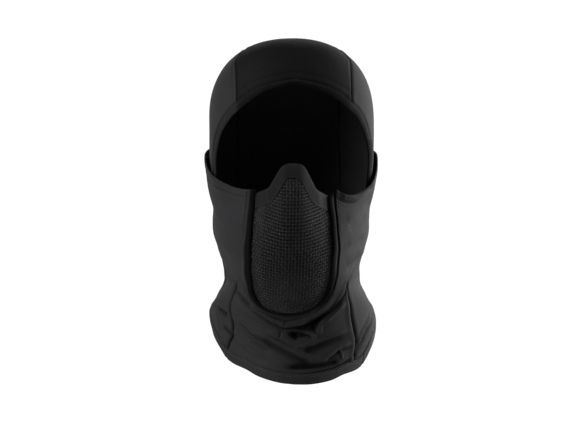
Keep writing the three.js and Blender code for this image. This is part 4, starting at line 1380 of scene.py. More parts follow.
def build_opening_hem(edges):
    """The rolled hem of the mask opening, in a U from the right cheek to the left."""

    def half(side, which):
        if which == "inner":
            return [(opening_edge(side, "inner"), OPENING_CELLS + 1)]
        e = edges[side]
        return [(e["opening_top"], 1), (e["opening"], OPENING_CELLS)]

    def around(which):
        first = half(-1, which)
        second = [(back(edge), cells) for edge, cells in reversed(half(1, which))]
        return joined(*first, *second)

    s = steps(OPENING_HEM_LENGTH, 1.2, 1.2)
    inner = around("inner")(s)
    outer = around("outer")(s)
    # The profile is walked by its own length, so that its rows are even.
    walked = [OPENING_PROFILE["share"] * OPENING_HEM_WIDTH]
    walked += [OPENING_PROFILE["height"], OPENING_PROFILE["left_height"]]
    position = np.linspace(0, 1, OPENING_HEM_ROWS)
    walk = Edge(np.stack(walked, -1))(position)
    share = walk[:, 0] / OPENING_HEM_WIDTH
    drawn = outer[:, None] + (inner - outer)[:, None] * share[None, :, None]
    # Its left end is cut aslant, lower at the lip.
    from_end = (1 - s) * OPENING_HEM_LENGTH
    slant = (1 + 5.5 * share)[None, :]
    drawn[..., 1] -= slant * (1 - smoothstep(from_end, 0, 34))[:, None]
    hem = cover_cloth(drawn)
    x, z = hem.flat[..., 0], hem.flat[..., 2]
    drawn_in = smoothstep(x, 12, 34)
    height = walk[None, :, 1] * (1 - drawn_in) + walk[None, :, 2] * drawn_in
    hem.lift(height + puckers(hem.low, hem.run, 0.12, 4.2, 3))
    lower = smoothstep(-z, 205, 230)
    # Painted shade along its seam and along the second row of stitches.
    hem.mark(hem.low, 1.1 + 0.4 * lower, 0.9)
    hem.mark(hem.low - 2.4, 0.8, 0.7 + 0.3 * drawn_in)
    # The lip gets painted shadow from its own ridge, and more under the mask.
    hem.paint_shade(0.9 * smoothstep(position, 0.66, 0.76)[None, :])
    inward = smoothstep(share, 0.52, 0.66)[None, :]
    hem.paint_shade(0.88 * inward * np.maximum(lower, 1 - drawn_in))
    # On the left the valley behind the second row of stitches and the end get painted shade.
    hem.paint_shade(0.5 * drawn_in * smoothstep(share, 0.3, 0.45)[None, :])
    return hem.paint_shade(0.85 * drawn_in * smoothstep(z, -158, -147))


# ---------------------------------------------------------------- mask

# Slopes are measured over this step to each side.
SLOPE_STEP = 0.5


def surface_slopes(depth, x, z):
    """How steeply a depth changes across and up, at points of the front view."""
    h = SLOPE_STEP
    across = (depth(x + h, z) - depth(x - h, z)) / (2 * h)
    upward = (depth(x, z + h) - depth(x, z - h)) / (2 * h)
    return across, upward


def coverage(x, z):
    """Depth of the front of the cover under points of the front view."""
    section = read(COVER_ROWS, "z", z)
    across = np.minimum(np.abs(x) / section["half_width"], 0.995)
    return -section["front"] * np.sqrt(1 - across**2)


def opening_outline():
    """The lip of the mask opening in the front view, from its right end to its left."""
    z = MASK_OPENING["inner_z"]
    shift = read(CHIN_TWIST, "z", z)["shift"]
    right = np.stack([-MASK_OPENING["inner_x"] + shift, z], -1)
    left = np.stack([MASK_OPENING["inner_x"] + shift, z], -1)
    return np.vstack([right, left[-2::-1]])


def inside_outline(x, z, outline):
    """Which points of the front view lie inside a closed outline."""
    inside = np.zeros(x.shape, bool)
    for a, b in zip(outline, np.roll(outline, -1, axis=0)):
        crosses = (a[1] > z) != (b[1] > z)
        with np.errstate(divide="ignore", invalid="ignore"):
            reach = a[0] + (z - a[1]) / (b[1] - a[1]) * (b[0] - a[0])
        inside ^= crosses & (x < reach)
    return inside


def depth_into_opening(x, z):
    """How far points of the front view lie inside the opening, at most the swell."""
    outline = opening_outline()
    nearest = np.full(x.shape, float(MASK_SWELL))
    for a, b in zip(outline, outline[1:]):
        way = b - a
        share = np.clip(((x - a[0]) * way[0] + (z - a[1]) * way[1]) / (way @ way), 0, 1)
        gap = np.hypot(x - a[0] - share * way[0], z - a[1] - share * way[1])
        nearest = np.minimum(nearest, gap)
    # The opening has no top edge, so its outline is closed well above the mask.
    above = [0, 60]
    high = np.vstack([outline[0] + above, outline, outline[-1] + above])
    return np.where(inside_outline(x, z, high), nearest, 0)


def mask_y(x, z, inset):
    """Depth of the mask: its own form in the opening, an inset inside the cover round it."""
    form = read(MASK_ROWS, "z", z)
    turned = np.maximum(np.abs(x - read(CHIN_TWIST, "z", z)["shift"]) - form["flat"], 0)
    round_part = turned**2 / (2 * form["turn"])
    bend = np.where(turned < form["turn"], round_part, turned - form["turn"] / 2)
    free = -form["ridge"] + form["slope"] * bend
    slope_x, slope_z = surface_slopes(coverage, x, z)
    held = coverage(x, z) + inset * np.sqrt(1 + slope_x**2 + slope_z**2)
    blend = smoothstep(depth_into_opening(x, z), MASK_SWELL_START, MASK_SWELL)
    return held + (free - held) * blend


def mask_points(x, z, inset):
    """Points on the mask, and the ways that it faces there."""
    slope_x, slope_z = surface_slopes(lambda at_x, at_z: mask_y(at_x, at_z, inset), x, z)
    point = np.stack([x, mask_y(x, z, inset), z], -1)
    return point, unit(np.stack([slope_x, -np.ones_like(slope_x), slope_z], -1))


# Spans of half the rim, over the nose, down the cheek and under the chin: each has its first
# and last row in the table, and its cells.
RIM_SPANS = ((0, 7, 9), (7, 11, 12), (11, 14, 9))


def rim_edge(side, which):
    """Half of the rim, from the nose to the chin, in the front view."""
    stretches = []
    for first, last, cells in RIM_SPANS:
        x = side * MASK_RIM[which + "_x"][first : last + 1]
        z = MASK_RIM[which + "_z"][first : last + 1]
        tilted = z - MASK_TILT * x * smoothstep(z, -190, -165)
        drawn = np.stack([x + read(CHIN_TWIST, "z", z)["shift"], tilted], -1)
        stretches.append((Edge(drawn), cells))
    return stretches


def whole_rim(which):
    """The whole rim, down the right side and up the left."""
    right = rim_edge(-1, which)
    left = [(back(edge), cells) for edge, cells in reversed(rim_edge(1, which))]
    return joined(*right, *left)


RIBS = 400
RIB_HEIGHT = 0.11
SAMPLES_PER_RIB = 4
TAPE_WIDTH = 15
# The tape is sewn on this far in from both its edges, and stands off the mask a little.
TAPE_STITCHES = 2.6
TAPE_LIFT = 0.25


def build_binding():
    """The ribbed tape bound round the mask's rim, wide over the nose."""
    samples = RIBS * SAMPLES_PER_RIB
    s = np.arange(samples) / samples
    across = steps(TAPE_WIDTH, 1.5, 1.0)
    flat, share = hem_grid(whole_rim("inner")(s), whole_rim("outer")(s), across)
    inset = MASK_INSET_INNER + (MASK_INSET_OUTER - MASK_INSET_INNER) * across[None, :]
    points, facing = mask_points(flat[..., 0], flat[..., 1], inset)
    band = Cloth(points, facing, ring=True)
    rib = RIB_HEIGHT * np.sin(s * RIBS * 2 * np.pi)[:, None] * np.sin(np.pi * share) ** 0.4
    edge = np.minimum(band.low, band.high)
    sewn = seam_line(np.abs(edge - TAPE_STITCHES), 0.22, 0.6)
    band.lift(rib + seam_line(edge, 0.5, 1.2) + sewn + TAPE_LIFT)
    # Painted shade along the tape's inner edge, by the mesh.
    return band.mark(band.low, 1.4, 0.9)


def mask_grid():
    """The mask's surface as lengths across it, for a grid of heights."""
    z = np.arange(MASK_FOOT_Z, MASK_TOP_Z, 0.5)
    x = np.arange(-MASK_HALF_WIDTH, MASK_HALF_WIDTH + 0.01, 0.25)
    grid_x, grid_z = np.meshgrid(x, z)
    y = mask_y(grid_x, grid_z, MASK_INSET_INNER)
    lengths = np.cumsum(np.hypot(np.diff(x), np.diff(y, axis=1)), axis=1)
    lengths = np.hstack([np.zeros((len(z), 1)), lengths])
    centre_x = read(CHIN_TWIST, "z", z)["shift"]
    middle = [np.interp(centre, x, row) for centre, row in zip(centre_x, lengths)]
    lengths = lengths - np.array(middle)[:, None]
    centre_y = mask_y(centre_x, z, MASK_INSET_INNER)
    down = np.cumsum(np.hypot(np.diff(z[::-1]), np.diff(centre_y[::-1])))
    down = np.concatenate([[0], down])[::-1]
    return dict(x=x, z=z, across=lengths, down=down)


# The rows of wire rise to both sides of the mask, smoothly from this far out.
ROW_RISE = 0.245
RISE_FROM = 9
RISE_SOFTNESS = 3
# Wires wave this much over and under each other, and end this far under the tape.
WAVE = 0.47
WIRE_REACH = 0.22
COLUMN_STEP = 0.55
ROW_STEP = 0.52
COLUMNS_EACH_SIDE = int(70 / WIRE_PITCH_ACROSS)
ROW_HALF_LENGTH = 66
SHORTEST_WIRE = 5


def row_rise(across):
    """How far a row has risen at a length from the middle of the mask."""
    over = np.abs(across) - RISE_FROM
    return ROW_RISE * (over + np.sqrt(over**2 + RISE_SOFTNESS**2)) / 2


def wire_outline():
    """Where the wires end, a little under the tape."""
    s = np.linspace(0, 1, 240, endpoint=False)
    inner = whole_rim("inner")(s)
    outer = whole_rim("outer")(s)
    return inner + (outer - inner) * WIRE_REACH


def runs(mask):
    """Unbroken stretches of True, but for the shortest."""
    edges = np.flatnonzero(np.diff(np.concatenate([[0], mask.astype(int), [0]])))
    return [(a, b) for a, b in zip(edges[::2], edges[1::2]) if b - a > SHORTEST_WIRE]


def wire_lines(x, z, inside, wave):
    """The stretches of one wire inside the outline, waved off the mask's surface."""
    lines = []
    for a, b in runs(inside):
        point, normal = mask_points(x[a:b], z[a:b], MASK_INSET_INNER)
        lines.append((point + normal * wave[a:b, None], normal))
    return lines


def build_wires():
    """Upright wires and cross wires, each over the one and under the next of the others."""
    surface = mask_grid()
    z, x = surface["z"], surface["x"]
    outline = wire_outline()
    columns, rows = [], []
    fine_z = np.arange(z[0], z[-1], COLUMN_STEP)
    for k in range(-COLUMNS_EACH_SIDE, COLUMNS_EACH_SIDE + 1):
        from_middle = k * WIRE_PITCH_ACROSS
        at_x = np.array([np.interp(from_middle, line, x) for line in surface["across"]])
        line_x = np.interp(fine_z, z, at_x)
        down = np.interp(fine_z, z, surface["down"])
        row = (down + row_rise(from_middle)) / WIRE_PITCH_DOWN
        wave = WAVE * np.cos(np.pi * (row + k))
        columns += wire_lines(line_x, fine_z, inside_outline(line_x, fine_z, outline), wave)
    lengths = np.arange(-ROW_HALF_LENGTH, ROW_HALF_LENGTH + 0.01, ROW_STEP)
    x_table = np.array([np.interp(lengths, line, x) for line in surface["across"]])
    # Rows start above the mask and go on below it, as they rise to its sides.
    last_row = int(surface["down"].max() / WIRE_PITCH_DOWN) + 6
    z_up, down_up = z[::-1], surface["down"][::-1]
    for m in range(-2, last_row):
        down = m * WIRE_PITCH_DOWN - row_rise(lengths)
        line_z = np.interp(down, down_up, z_up)
        valid = (down > down_up[0]) & (down < down_up[-1])
        at = (line_z - z[0]) / (z[1] - z[0])
        i = np.clip(at.astype(int), 0, len(z) - 2)
        j = np.arange(len(lengths))
        line_x = x_table[i, j] * (1 - (at - i)) + x_table[i + 1, j] * (at - i)
        wave = -WAVE * np.cos(np.pi * (lengths / WIRE_PITCH_ACROSS + m))
        inside = inside_outline(line_x, line_z, outline) & valid
        rows += wire_lines(line_x, line_z, inside, wave)
    return columns, rows


def make_tubes(name, lines, radius, sides=6):
    """Round wires along lines, joined in one mesh. Each line has its points and normals."""
    turns = np.arange(sides) * 2 * np.pi / sides
    points, quads, caps = [], [], []
    offset = 0
    for line, normal in lines:
        along = unit(np.gradient(line, axis=0))
        side = unit(np.cross(along, normal))
        up = np.cross(side, along)
        ring = (
            line[:, None]
            + radius * np.cos(turns)[None, :, None] * side[:, None]
            + radius * np.sin(turns)[None, :, None] * up[:, None]
        )
        points.append(ring.reshape(-1, 3))
        count = len(line)
        index = offset + np.arange(count * sides).reshape(count, sides)
        a, b = index[:-1], index[1:]
        quads.append(np.stack([a, b, np.roll(b, -1, 1), np.roll(a, -1, 1)], -1).reshape(-1, 4))
        caps.append((index[0].tolist(), index[-1][::-1].tolist()))
        offset += count * sides
    spots = np.vstack(points)
    faces = np.vstack(quads)
    corners = spots[faces]
    volume = np.sum(corners[:, 0] * np.cross(corners[:, 1], corners[:, 2]))
    faces = faces.tolist() + [cap for pair in caps for cap in pair]
    if volume < 0:
        faces = [face[::-1] for face in faces]
    return new_piece(name, spots, faces)


# ---------------------------------------------------------------- stitches

STITCH_LENGTH = 2.1
STITCH_PITCH = 2.9
# Its ends are this much thinner, and lie this far down in the cloth.
STITCH_TAPER = 0.55
STITCH_DIVE = 0.32


def stitch_template():
    """One stitch, a short thread that dives into the cloth at both ends, as points and faces."""
    bpy.ops.mesh.primitive_cylinder_add(vertices=6, radius=THREAD_RADIUS, depth=STITCH_LENGTH)
    stitch = bpy.context.object
    bpy.ops.object.mode_set(mode="EDIT")
    bpy.ops.mesh.select_all(action="SELECT")
    bpy.ops.transform.rotate(value=math.pi / 2, orient_axis="Y", center_override=(0, 0, 0))
    bpy.ops.mesh.bisect(plane_co=(-0.5, 0, 0), plane_no=(1, 0, 0))
    bpy.ops.mesh.select_all(action="SELECT")
    bpy.ops.mesh.bisect(plane_co=(0.5, 0, 0), plane_no=(1, 0, 0))
    bpy.ops.object.mode_set(mode="OBJECT")
    points = np.array([vertex.co[:] for vertex in stitch.data.vertices])
    ends = np.abs(points[:, 0]) > STITCH_LENGTH / 2 - 0.01
    points[ends, 1:] *= STITCH_TAPER
    points[:, 2] -= STITCH_DIVE * (points[:, 0] / (STITCH_LENGTH / 2)) ** 2
    faces = [list(face.vertices) for face in stitch.data.polygons]
    bpy.data.objects.remove(stitch)
    return points, faces


def along_line(line, normals, pitch):
    """Even places along a line, each with its point and its three directions."""
    size = np.concatenate([[0], np.cumsum(np.linalg.norm(np.diff(line, axis=0), axis=1))])
    at = np.arange(pitch / 2, size[-1], pitch)

    def pick(values):
        return np.stack([np.interp(at, size, values[:, k]) for k in range(3)], -1)

    up = unit(pick(normals))
    along = unit(pick(np.gradient(line, axis=0)))
    side = unit(np.cross(up, along))
    return pick(line), along, side, up


def make_stitches(name, lines, template):
    """Rows of stitches along lines on the cloth, joined in one mesh."""
    shape, faces = template
    points, copied = [], []
    offset = 0
    for line, normals in lines:
        for place, along, side, up in zip(*along_line(line, normals, STITCH_PITCH)):
            points.append(place + shape[:, :1] * along + shape[:, 1:2] * side + shape[:, 2:] * up)
            copied += [[offset + i for i in face] for face in faces]
            offset += len(shape)
    return new_piece(name, np.vstack(points), copied)


# ---------------------------------------------------------------- materials

# Sizes here are in metres. The knit repeats across and along the cloth at its first two.
KNIT_WALE = 0.0005
KNIT_COURSE = 0.0004
TAPE_WEFT = 0.0006
THREAD_RELIEF = 0.00006
PAINT_RELIEF = 0.00008
PAINT_GRAIN_SCALE = 2600
FLUFF_SCALE = 1400
FLUFF_FROM = 0.68
FLUFF = (0.16, 0.16, 0.165)
# The cloth's wrong side is duller and paler than its face. The last colour is painted shade, for
# seams, hollows and shadowed places.
INNER_CLOTH = (0.04, 0.04, 0.042)
PAINTED_SHADE_COLOR = (0.0015, 0.0015, 0.0015)


def new_group(name, inputs, outputs):
    """A node group with float, colour or vector sockets."""
    kinds = dict(value="NodeSocketFloat", color="NodeSocketColor", vector="NodeSocketVector")
    group = bpy.data.node_groups.new(name, "ShaderNodeTree")
    for label, kind in inputs:
        group.interface.new_socket(name=label, in_out="INPUT", socket_type=kinds[kind])
    for label, kind in outputs:
        group.interface.new_socket(name=label, in_out="OUTPUT", socket_type=kinds[kind])
    return group, group.nodes.new("NodeGroupInput"), group.nodes.new("NodeGroupOutput")


def feed(tree, slot, value):
    """Links another node's output to a slot, or sets the slot to a plain value."""
    if isinstance(value, bpy.types.NodeSocket):
        tree.links.new(value, slot)
    else:
        slot.default_value = value


def math_node(tree, operation, *values, clamp=False):
    """Works out one sum, from other nodes' outputs and plain values."""
    node = tree.nodes.new("ShaderNodeMath")
    node.operation = operation
    node.use_clamp = clamp
    for slot, value in zip(node.inputs, values):
        feed(tree, slot, value)
    return node.outputs[0]


def knit_group():
    """Fine stocking stitch: upright wales of slanted loops. It gives a height."""
    inputs = [("Map", "vector"), ("Wale", "value"), ("Course", "value")]
    group, given, result = new_group("knit_loops", inputs, [("Height", "value")])
    split = group.nodes.new("ShaderNodeSeparateXYZ")
    group.links.new(given.outputs["Map"], split.inputs[0])
    wale = math_node(group, "DIVIDE", split.outputs[0], given.outputs["Wale"])
    course = math_node(group, "DIVIDE", split.outputs[1], given.outputs["Course"])
    turn = math_node(group, "MULTIPLY", wale, 2 * math.pi)
    half_wave = math_node(group, "SINE", math_node(group, "MULTIPLY", turn, 0.5))
    upright = math_node(group, "ABSOLUTE", half_wave)
    leaning = math_node(group, "MULTIPLY", math_node(group, "PINGPONG", wale, 0.5), 1.2)
    loops = math_node(group, "ADD", course, leaning)
    loop_wave = math_node(group, "SINE", math_node(group, "MULTIPLY", loops, 2 * math.pi))
    loop_wave = math_node(group, "MULTIPLY", loop_wave, 0.35)
    height = math_node(group, "ADD", upright, loop_wave)
    group.links.new(height, result.inputs["Height"])
    return group


def lint_group():
    """Uneven dye and a little pale fluff caught in the cloth. It gives two masks."""
    inputs = [("Place", "vector"), ("Patch Size", "value")]
    outputs = [("Fade", "value"), ("Fluff", "value")]
    group, given, result = new_group("cloth_wear", inputs, outputs)
    clouds = group.nodes.new("ShaderNodeTexNoise")
    clouds.inputs["Detail"].default_value = 4
    clouds.inputs["Roughness"].default_value = 0.6
    group.links.new(given.outputs["Place"], clouds.inputs["Vector"])
    scale = math_node(group, "DIVIDE", 1.0, given.outputs["Patch Size"])
    group.links.new(scale, clouds.inputs["Scale"])
    group.links.new(clouds.outputs[0], result.inputs["Fade"])
    specks = group.nodes.new("ShaderNodeTexNoise")
    specks.inputs["Scale"].default_value = FLUFF_SCALE
    specks.inputs["Detail"].default_value = 2
    group.links.new(given.outputs["Place"], specks.inputs["Vector"])
    # Only the peaks of the noise stay, so that the fluff is sparse.
    sparse = math_node(group, "SUBTRACT", specks.outputs[0], FLUFF_FROM)
    sparse = math_node(group, "MULTIPLY", sparse, 9.0, clamp=True)
    group.links.new(sparse, result.inputs["Fluff"])
    return group


def mix_color(tree, mask, low, high):
    """Mixes two colours by a mask. Each is an output or a plain red, green and blue."""
    node = tree.nodes.new("ShaderNodeMix")
    node.data_type = "RGBA"
    tree.links.new(mask, node.inputs["Factor"])
    for slot, color in ((node.inputs[6], low), (node.inputs[7], high)):
        feed(tree, slot, (*color, 1) if isinstance(color, tuple) else color)
    return node.outputs[2]


def new_material(name):
    """A new material, its nodes and its shader."""
    material = bpy.data.materials.new(name)
    material.use_nodes = True
    tree = material.node_tree
    return material, tree, tree.nodes["Principled BSDF"]


def place_group(tree, group, **values):
    """Places a node group in a material, with its own values."""
    node = tree.nodes.new("ShaderNodeGroup")
    node.node_tree = group
    for label, value in values.items():
        feed(tree, node.inputs[label.replace("_", " ")], value)
    return node


def cloth_map(tree):
    """The cloth's own map, which its knit follows."""
    node = tree.nodes.new("ShaderNodeUVMap")
    node.uv_map = "cloth_map"
    return node.outputs[0]


def object_place(tree):
    """Places on the object, in metres."""
    return tree.nodes.new("ShaderNodeTexCoord").outputs["Object"]


def scaled_range(tree, value, low, high):
    """Brings a value of 0 to 1 between a low and a high one."""
    node = tree.nodes.new("ShaderNodeMapRange")
    tree.links.new(value, node.inputs["Value"])
    node.inputs["To Min"].default_value = low
    node.inputs["To Max"].default_value = high
    return node.outputs[0]


def bump(tree, height, distance, strength):
    """Turns a height into a fine relief of the surface."""
    node = tree.nodes.new("ShaderNodeBump")
    node.inputs["Distance"].default_value = distance
    node.inputs["Strength"].default_value = strength
    tree.links.new(height, node.inputs["Height"])
    return node.outputs[0]


def attribute(tree, label):
    """A mask that the mesh carries."""
    node = tree.nodes.new("ShaderNodeAttribute")
    node.attribute_name = label
    return node.outputs["Fac"]


def worn_places(tree, wear, patch_size):
    """The masks of fading and fluff, by place on the object."""
    return place_group(tree, wear, Place=object_place(tree), Patch_Size=patch_size)


def jersey_material(name, dark, light, roughness, sheen, gloss):
    """Knitted stretch cloth with a finely brushed face."""
    material, tree, shader = new_material(name)
    worn = worn_places(tree, wear, 0.035)
    color = mix_color(tree, worn.outputs["Fade"], dark, light)
    fluff = math_node(tree, "MULTIPLY", worn.outputs["Fluff"], 0.12)
    color = mix_color(tree, fluff, color, FLUFF)
    color = mix_color(tree, attribute(tree, "inner_side"), color, INNER_CLOTH)
    # Painted shade darkens the colour, and roughens the cloth, in its seams, hollows and shadowed
    # places.
    shade = attribute(tree, "painted_shade")
    color = mix_color(tree, math_node(tree, "MULTIPLY", shade, 0.96), color, PAINTED_SHADE_COLOR)
    tree.links.new(color, shader.inputs["Base Color"])
    rough = scaled_range(tree, worn.outputs["Fade"], roughness - 0.05, roughness + 0.07)
    rough = math_node(tree, "MAXIMUM", rough, shade)
    tree.links.new(rough, shader.inputs["Roughness"])
    loops = place_group(tree, knit, Map=cloth_map(tree), Wale=KNIT_WALE, Course=KNIT_COURSE)
    height = bump(tree, loops.outputs["Height"], THREAD_RELIEF, 0.5)
    tree.links.new(height, shader.inputs["Normal"])
    shader.inputs["Sheen Weight"].default_value = sheen
    shader.inputs["Sheen Roughness"].default_value = 0.35
    shader.inputs["Sheen Tint"].default_value = (0.75, 0.77, 0.82, 1)
    shader.inputs["Specular IOR Level"].default_value = gloss
    return material


def tape_material():
    """Ribbed binding tape, with its weft across it."""
    material, tree, shader = new_material("ribbed_tape")
    worn = worn_places(tree, wear, 0.012)
    color = mix_color(tree, worn.outputs["Fade"], (0.006, 0.006, 0.0065), (0.015, 0.015, 0.016))
    # Painted shade along the tape's inner edge.
    color = mix_color(tree, attribute(tree, "painted_shade"), color, PAINTED_SHADE_COLOR)
    tree.links.new(color, shader.inputs["Base Color"])
    tree.links.new(scaled_range(tree, worn.outputs["Fade"], 0.55, 0.75), shader.inputs["Roughness"])
    split = tree.nodes.new("ShaderNodeSeparateXYZ")
    tree.links.new(cloth_map(tree), split.inputs[0])
    turn = math_node(tree, "MULTIPLY", split.outputs[0], 2 * math.pi / TAPE_WEFT)
    weft = math_node(tree, "SINE", turn)
    tree.links.new(bump(tree, weft, THREAD_RELIEF, 0.5), shader.inputs["Normal"])
    shader.inputs["Sheen Weight"].default_value = 0.04
    shader.inputs["Sheen Roughness"].default_value = 0.4
    shader.inputs["Specular IOR Level"].default_value = 0.18
    return material


def wire_material():
    """Steel wire under black paint, rubbed here and there."""
    material, tree, shader = new_material("painted_wire")
    worn = worn_places(tree, wear, 0.004)
    color = mix_color(tree, worn.outputs["Fade"], (0.010, 0.010, 0.011), (0.032, 0.032, 0.034))
    rubbed = math_node(tree, "MULTIPLY", worn.outputs["Fluff"], 0.35)
    color = mix_color(tree, rubbed, color, (0.18, 0.18, 0.18))
    tree.links.new(color, shader.inputs["Base Color"])
    tree.links.new(scaled_range(tree, worn.outputs["Fade"], 0.34, 0.52), shader.inputs["Roughness"])
    grain = tree.nodes.new("ShaderNodeTexNoise")
    grain.inputs["Scale"].default_value = PAINT_GRAIN_SCALE
    tree.links.new(object_place(tree), grain.inputs["Vector"])
    tree.links.new(bump(tree, grain.outputs[0], PAINT_RELIEF, 0.35), shader.inputs["Normal"])
    shader.inputs["Metallic"].default_value = 0.25
    shader.inputs["Coat Weight"].default_value = 0.15
    shader.inputs["Coat Roughness"].default_value = 0.3
    return material


def thread_material():
    """Twisted sewing thread, a little paler than the cloth."""
    material, tree, shader = new_material("sewing_thread")
    worn = worn_places(tree, wear, 0.006)
    color = mix_color(tree, worn.outputs["Fade"], (0.02, 0.02, 0.022), (0.05, 0.05, 0.053))
    tree.links.new(color, shader.inputs["Base Color"])
    shader.inputs["Roughness"].default_value = 0.5
    shader.inputs["Sheen Weight"].default_value = 0.3
    return material


# ---------------------------------------------------------------- putting it together


def finish_piece(piece, material, nodes=()):
    """Gives a piece its finish and its body, and hides the CAD nodes that it stands for."""
    piece.data.materials.append(material)
    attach(piece, "root")
    if nodes:
        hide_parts(*nodes)


knit = knit_group()
wear = lint_group()
# Each jersey: its darkest and palest dye, its roughness, its sheen and its gloss.
jersey = jersey_material(
    "stretch_jersey", (0.027, 0.027, 0.0287), (0.0405, 0.0405, 0.0427), 0.66, 0.03, 0.08
)
crown_jersey = jersey_material(
    "crown_jersey", (0.0055, 0.0055, 0.006), (0.0095, 0.0095, 0.0102), 0.66, 0.0, 0.1
)
hem_jersey = jersey_material(
    "hem_jersey", (0.0235, 0.0235, 0.025), (0.035, 0.035, 0.037), 0.6, 0.03, 0.1
)
face_jersey = jersey_material(
    "face_hem_jersey", (0.017, 0.017, 0.018), (0.026, 0.026, 0.028), 0.75, 0.0, 0.08
)
tape = tape_material()
wire = wire_material()
thread = thread_material()

hood = build_hood()
cover = build_cover()
binding = build_binding()
columns, rows = build_wires()


# What each cloth is: its finish, its slot and its thickness.
CLOTHS = {
    "jersey": (jersey, "hood_fabric", CLOTH),
    "crown": (crown_jersey, "hood_fabric", CLOTH),
    "hem": (hem_jersey, "hem_fabric", HEM_CLOTH),
    "face": (face_jersey, "hem_fabric", HEM_CLOTH),
    "rolled": (hem_jersey, "hem_fabric", ROLLED_CLOTH),
    "tape": (tape, "binding_tape", TAPE),
}


def add_cloth(name, node, cloth, kind):
    """Adds a cloth for a CAD node."""
    material, slot, thickness = CLOTHS[kind]
    piece = make_shell(name, cloth, thickness)
    finish_piece(piece, material, [node])


WEARER = {-1: "right", 1: "left"}

add_cloth("crown_cloth", "crown_panel", hood["crown"], "crown")
add_cloth(
    "face_hem_band", "face_opening_hem", hood["face_hem"], "face",
)
for side in (-1, 1):
    who = WEARER[side]
    cheek, neck = f"cheek_panel_{who}", f"neck_panel_{who}"
    add_cloth(
        f"side_cloth_{who}", f"hood_side_{who}", hood["side", side], "jersey",
    )
    add_cloth(
        f"cheek_cloth_{who}", cheek, cover["cheek", side], "jersey",
    )
    add_cloth(
        f"cheek_hem_band_{who}", f"cheek_hem_{who}", cover["cheek_hem", side], "hem",
    )
    add_cloth(
        f"neck_cloth_{who}", neck, cover["neck", side], "jersey",
    )
add_cloth("bib_cloth", "front_bib", cover["bib"], "jersey")
add_cloth(
    "collar_band", "collar_hem", cover["collar"], "hem",
)
add_cloth(
    "mask_hem_band", "mask_opening_hem", cover["opening_hem"], "rolled",
)
add_cloth("nose_tape", "mask_binding", binding, "tape")

for name, lines in (("mesh_columns", columns), ("mesh_rows", rows)):
    finish_piece(make_tubes(name, lines, WIRE_RADIUS), wire, ["wire_mesh"])

# Rows of stitches: the cloth, how far across it each row runs, and how high its face is.
HEM_ROWS = [
    (hood["face_hem"], (0.16, 0.42), HEM_CLOTH / 2),
    (cover["cheek_hem", -1], (0.16, 0.42), HEM_CLOTH / 2),
    (cover["cheek_hem", 1], (0.16, 0.42), HEM_CLOTH / 2),
    (cover["collar"], (0.12, 0.3), HEM_CLOTH / 2),
    (cover["opening_hem"], (0.06, 0.26), ROLLED_CLOTH / 2),
]
TAPE_ROWS = [(binding, (0.16, 0.84), TAPE / 2)]

stitch = stitch_template()
for name, rows_on, slot in (
    ("hem_stitches", HEM_ROWS, "hem_fabric"),
    ("binding_stitches", TAPE_ROWS, "binding_tape"),
):
    lines = [cloth.line(share, height) for cloth, row, height in rows_on for share in row]
    finish_piece(make_stitches(name, lines, stitch), thread)


# ---------------------------------------------------------------- studio

# Sizes here are in metres. The frame is this wide at the distance of the hood.
FRAME_WIDTH = 0.5586
SENSOR_WIDTH = 36
CAMERA_DISTANCE = 12.0
CAMERA_AZIMUTH = math.radians(-2)
CAMERA_ELEVATION = math.radians(0)
CAMERA_TARGET = Vector((0.0024, 0.0, -0.172))
FLOOR_SIZE = 14
FLOOR_Z = -0.46
ROOM_LIGHT = 0.025
WHITE_BACKDROP = 1.05


def add_camera():
    """A long lens, nearly straight ahead of the face."""
    camera = bpy.data.objects.new("camera", bpy.data.cameras.new("camera"))
    bpy.context.scene.collection.objects.link(camera)
    back_way = Vector(
        (
            math.sin(CAMERA_AZIMUTH) * math.cos(CAMERA_ELEVATION),
            -math.cos(CAMERA_AZIMUTH) * math.cos(CAMERA_ELEVATION),
            math.sin(CAMERA_ELEVATION),
        )
    )
    camera.location = CAMERA_TARGET + back_way * CAMERA_DISTANCE
    camera.rotation_euler = (-back_way).to_track_quat("-Z", "Y").to_euler()
    camera.data.sensor_width = SENSOR_WIDTH
    camera.data.lens = SENSOR_WIDTH * CAMERA_DISTANCE / FRAME_WIDTH
    camera.data.clip_end = 100
    bpy.context.scene.camera = camera


def add_softbox(name, place, target, width, height, power):
    """A soft oblong light that faces its target and isn't seen itself."""
    light = bpy.data.lights.new(name, "AREA")
    light.shape = "RECTANGLE"
    light.size = width
    light.size_y = height
    light.energy = power
    box = bpy.data.objects.new(name, light)
    bpy.context.scene.collection.objects.link(box)
    box.location = place
    box.rotation_euler = (Vector(target) - Vector(place)).to_track_quat("-Z", "Y").to_euler()
    box.visible_camera = False


def add_world():
    """A dim room that the camera sees as a white backdrop."""
    world = bpy.data.worlds.new("studio")
    bpy.context.scene.world = world
    world.use_nodes = True
    tree = world.node_tree
    sky = tree.nodes["Background"]
    sky.inputs["Color"].default_value = (1, 1, 1, 1)
    path = tree.nodes.new("ShaderNodeLightPath")
    strength = tree.nodes.new("ShaderNodeMapRange")
    strength.inputs["To Min"].default_value = ROOM_LIGHT
    strength.inputs["To Max"].default_value = WHITE_BACKDROP
    tree.links.new(path.outputs["Is Camera Ray"], strength.inputs["Value"])
    tree.links.new(strength.outputs[0], sky.inputs["Strength"])


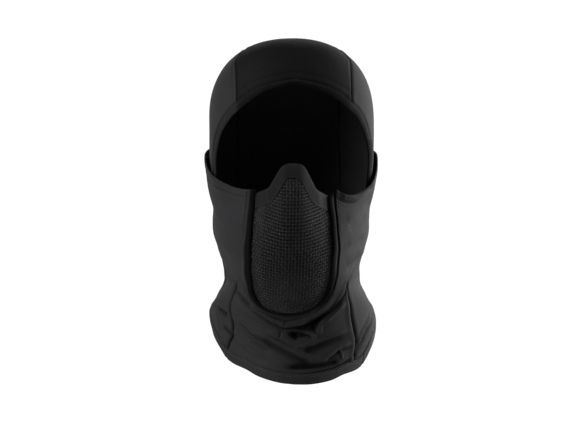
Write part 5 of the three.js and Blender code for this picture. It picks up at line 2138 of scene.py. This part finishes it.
def add_floor():
    """A plain pale floor."""
    bpy.ops.mesh.primitive_plane_add(size=FLOOR_SIZE, location=(0, 0, FLOOR_Z))
    floor = bpy.context.object
    floor.name = "floor"
    material, tree, shader = new_material("pale_floor")
    shader.inputs["Base Color"].default_value = (0.5, 0.5, 0.5, 1)
    shader.inputs["Roughness"].default_value = 0.8
    shader.inputs["Specular IOR Level"].default_value = 0.1
    shader.inputs["Emission Color"].default_value = (1, 1, 1, 1)
    # The floor runs out into white, as a studio sweep does.
    away = tree.nodes.new("ShaderNodeVectorMath")
    away.operation = "LENGTH"
    tree.links.new(object_place(tree), away.inputs[0])
    sweep = tree.nodes.new("ShaderNodeMapRange")
    tree.links.new(away.outputs["Value"], sweep.inputs["Value"])
    sweep.inputs["From Min"].default_value = 0.3
    sweep.inputs["From Max"].default_value = 1.3
    sweep.inputs["To Min"].default_value = 0.78
    sweep.inputs["To Max"].default_value = WHITE_BACKDROP
    path = tree.nodes.new("ShaderNodeLightPath")
    glow = math_node(tree, "MULTIPLY", path.outputs["Is Camera Ray"], sweep.outputs[0])
    tree.links.new(glow, shader.inputs["Emission Strength"])
    floor.data.materials.append(material)


add_camera()
add_world()
add_floor()
# Each light's place, the point it faces, its width, its height and its power.
add_softbox("left_softbox", (-1.3, -1.0, -0.1), (0, 0, -0.2), 0.6, 1.2, 14)
add_softbox("left_high_softbox", (-1.2, -0.1, 1.1), (0, 0, -0.15), 0.6, 0.8, 12.5)
add_softbox("left_rim_softbox", (-0.8, 1.8, -0.15), (0, 0, -0.2), 0.35, 1.0, 1.8)
add_softbox("right_softbox", (1.55, 0.2, -0.1), (0, 0, -0.2), 0.6, 1.2, 19)
add_softbox("right_rear_softbox", (1.25, 1.2, 0.1), (0, 0, -0.2), 0.6, 1.2, 13)
add_softbox("right_high_softbox", (1.2, 0.1, 1.1), (0, 0, -0.15), 0.6, 0.8, 7)
add_softbox("back_softbox", (0.4, 2.6, 0.5), (0, 0, -0.15), 2.0, 1.4, 18)
bpy.context.scene.view_settings.view_transform = "Standard"
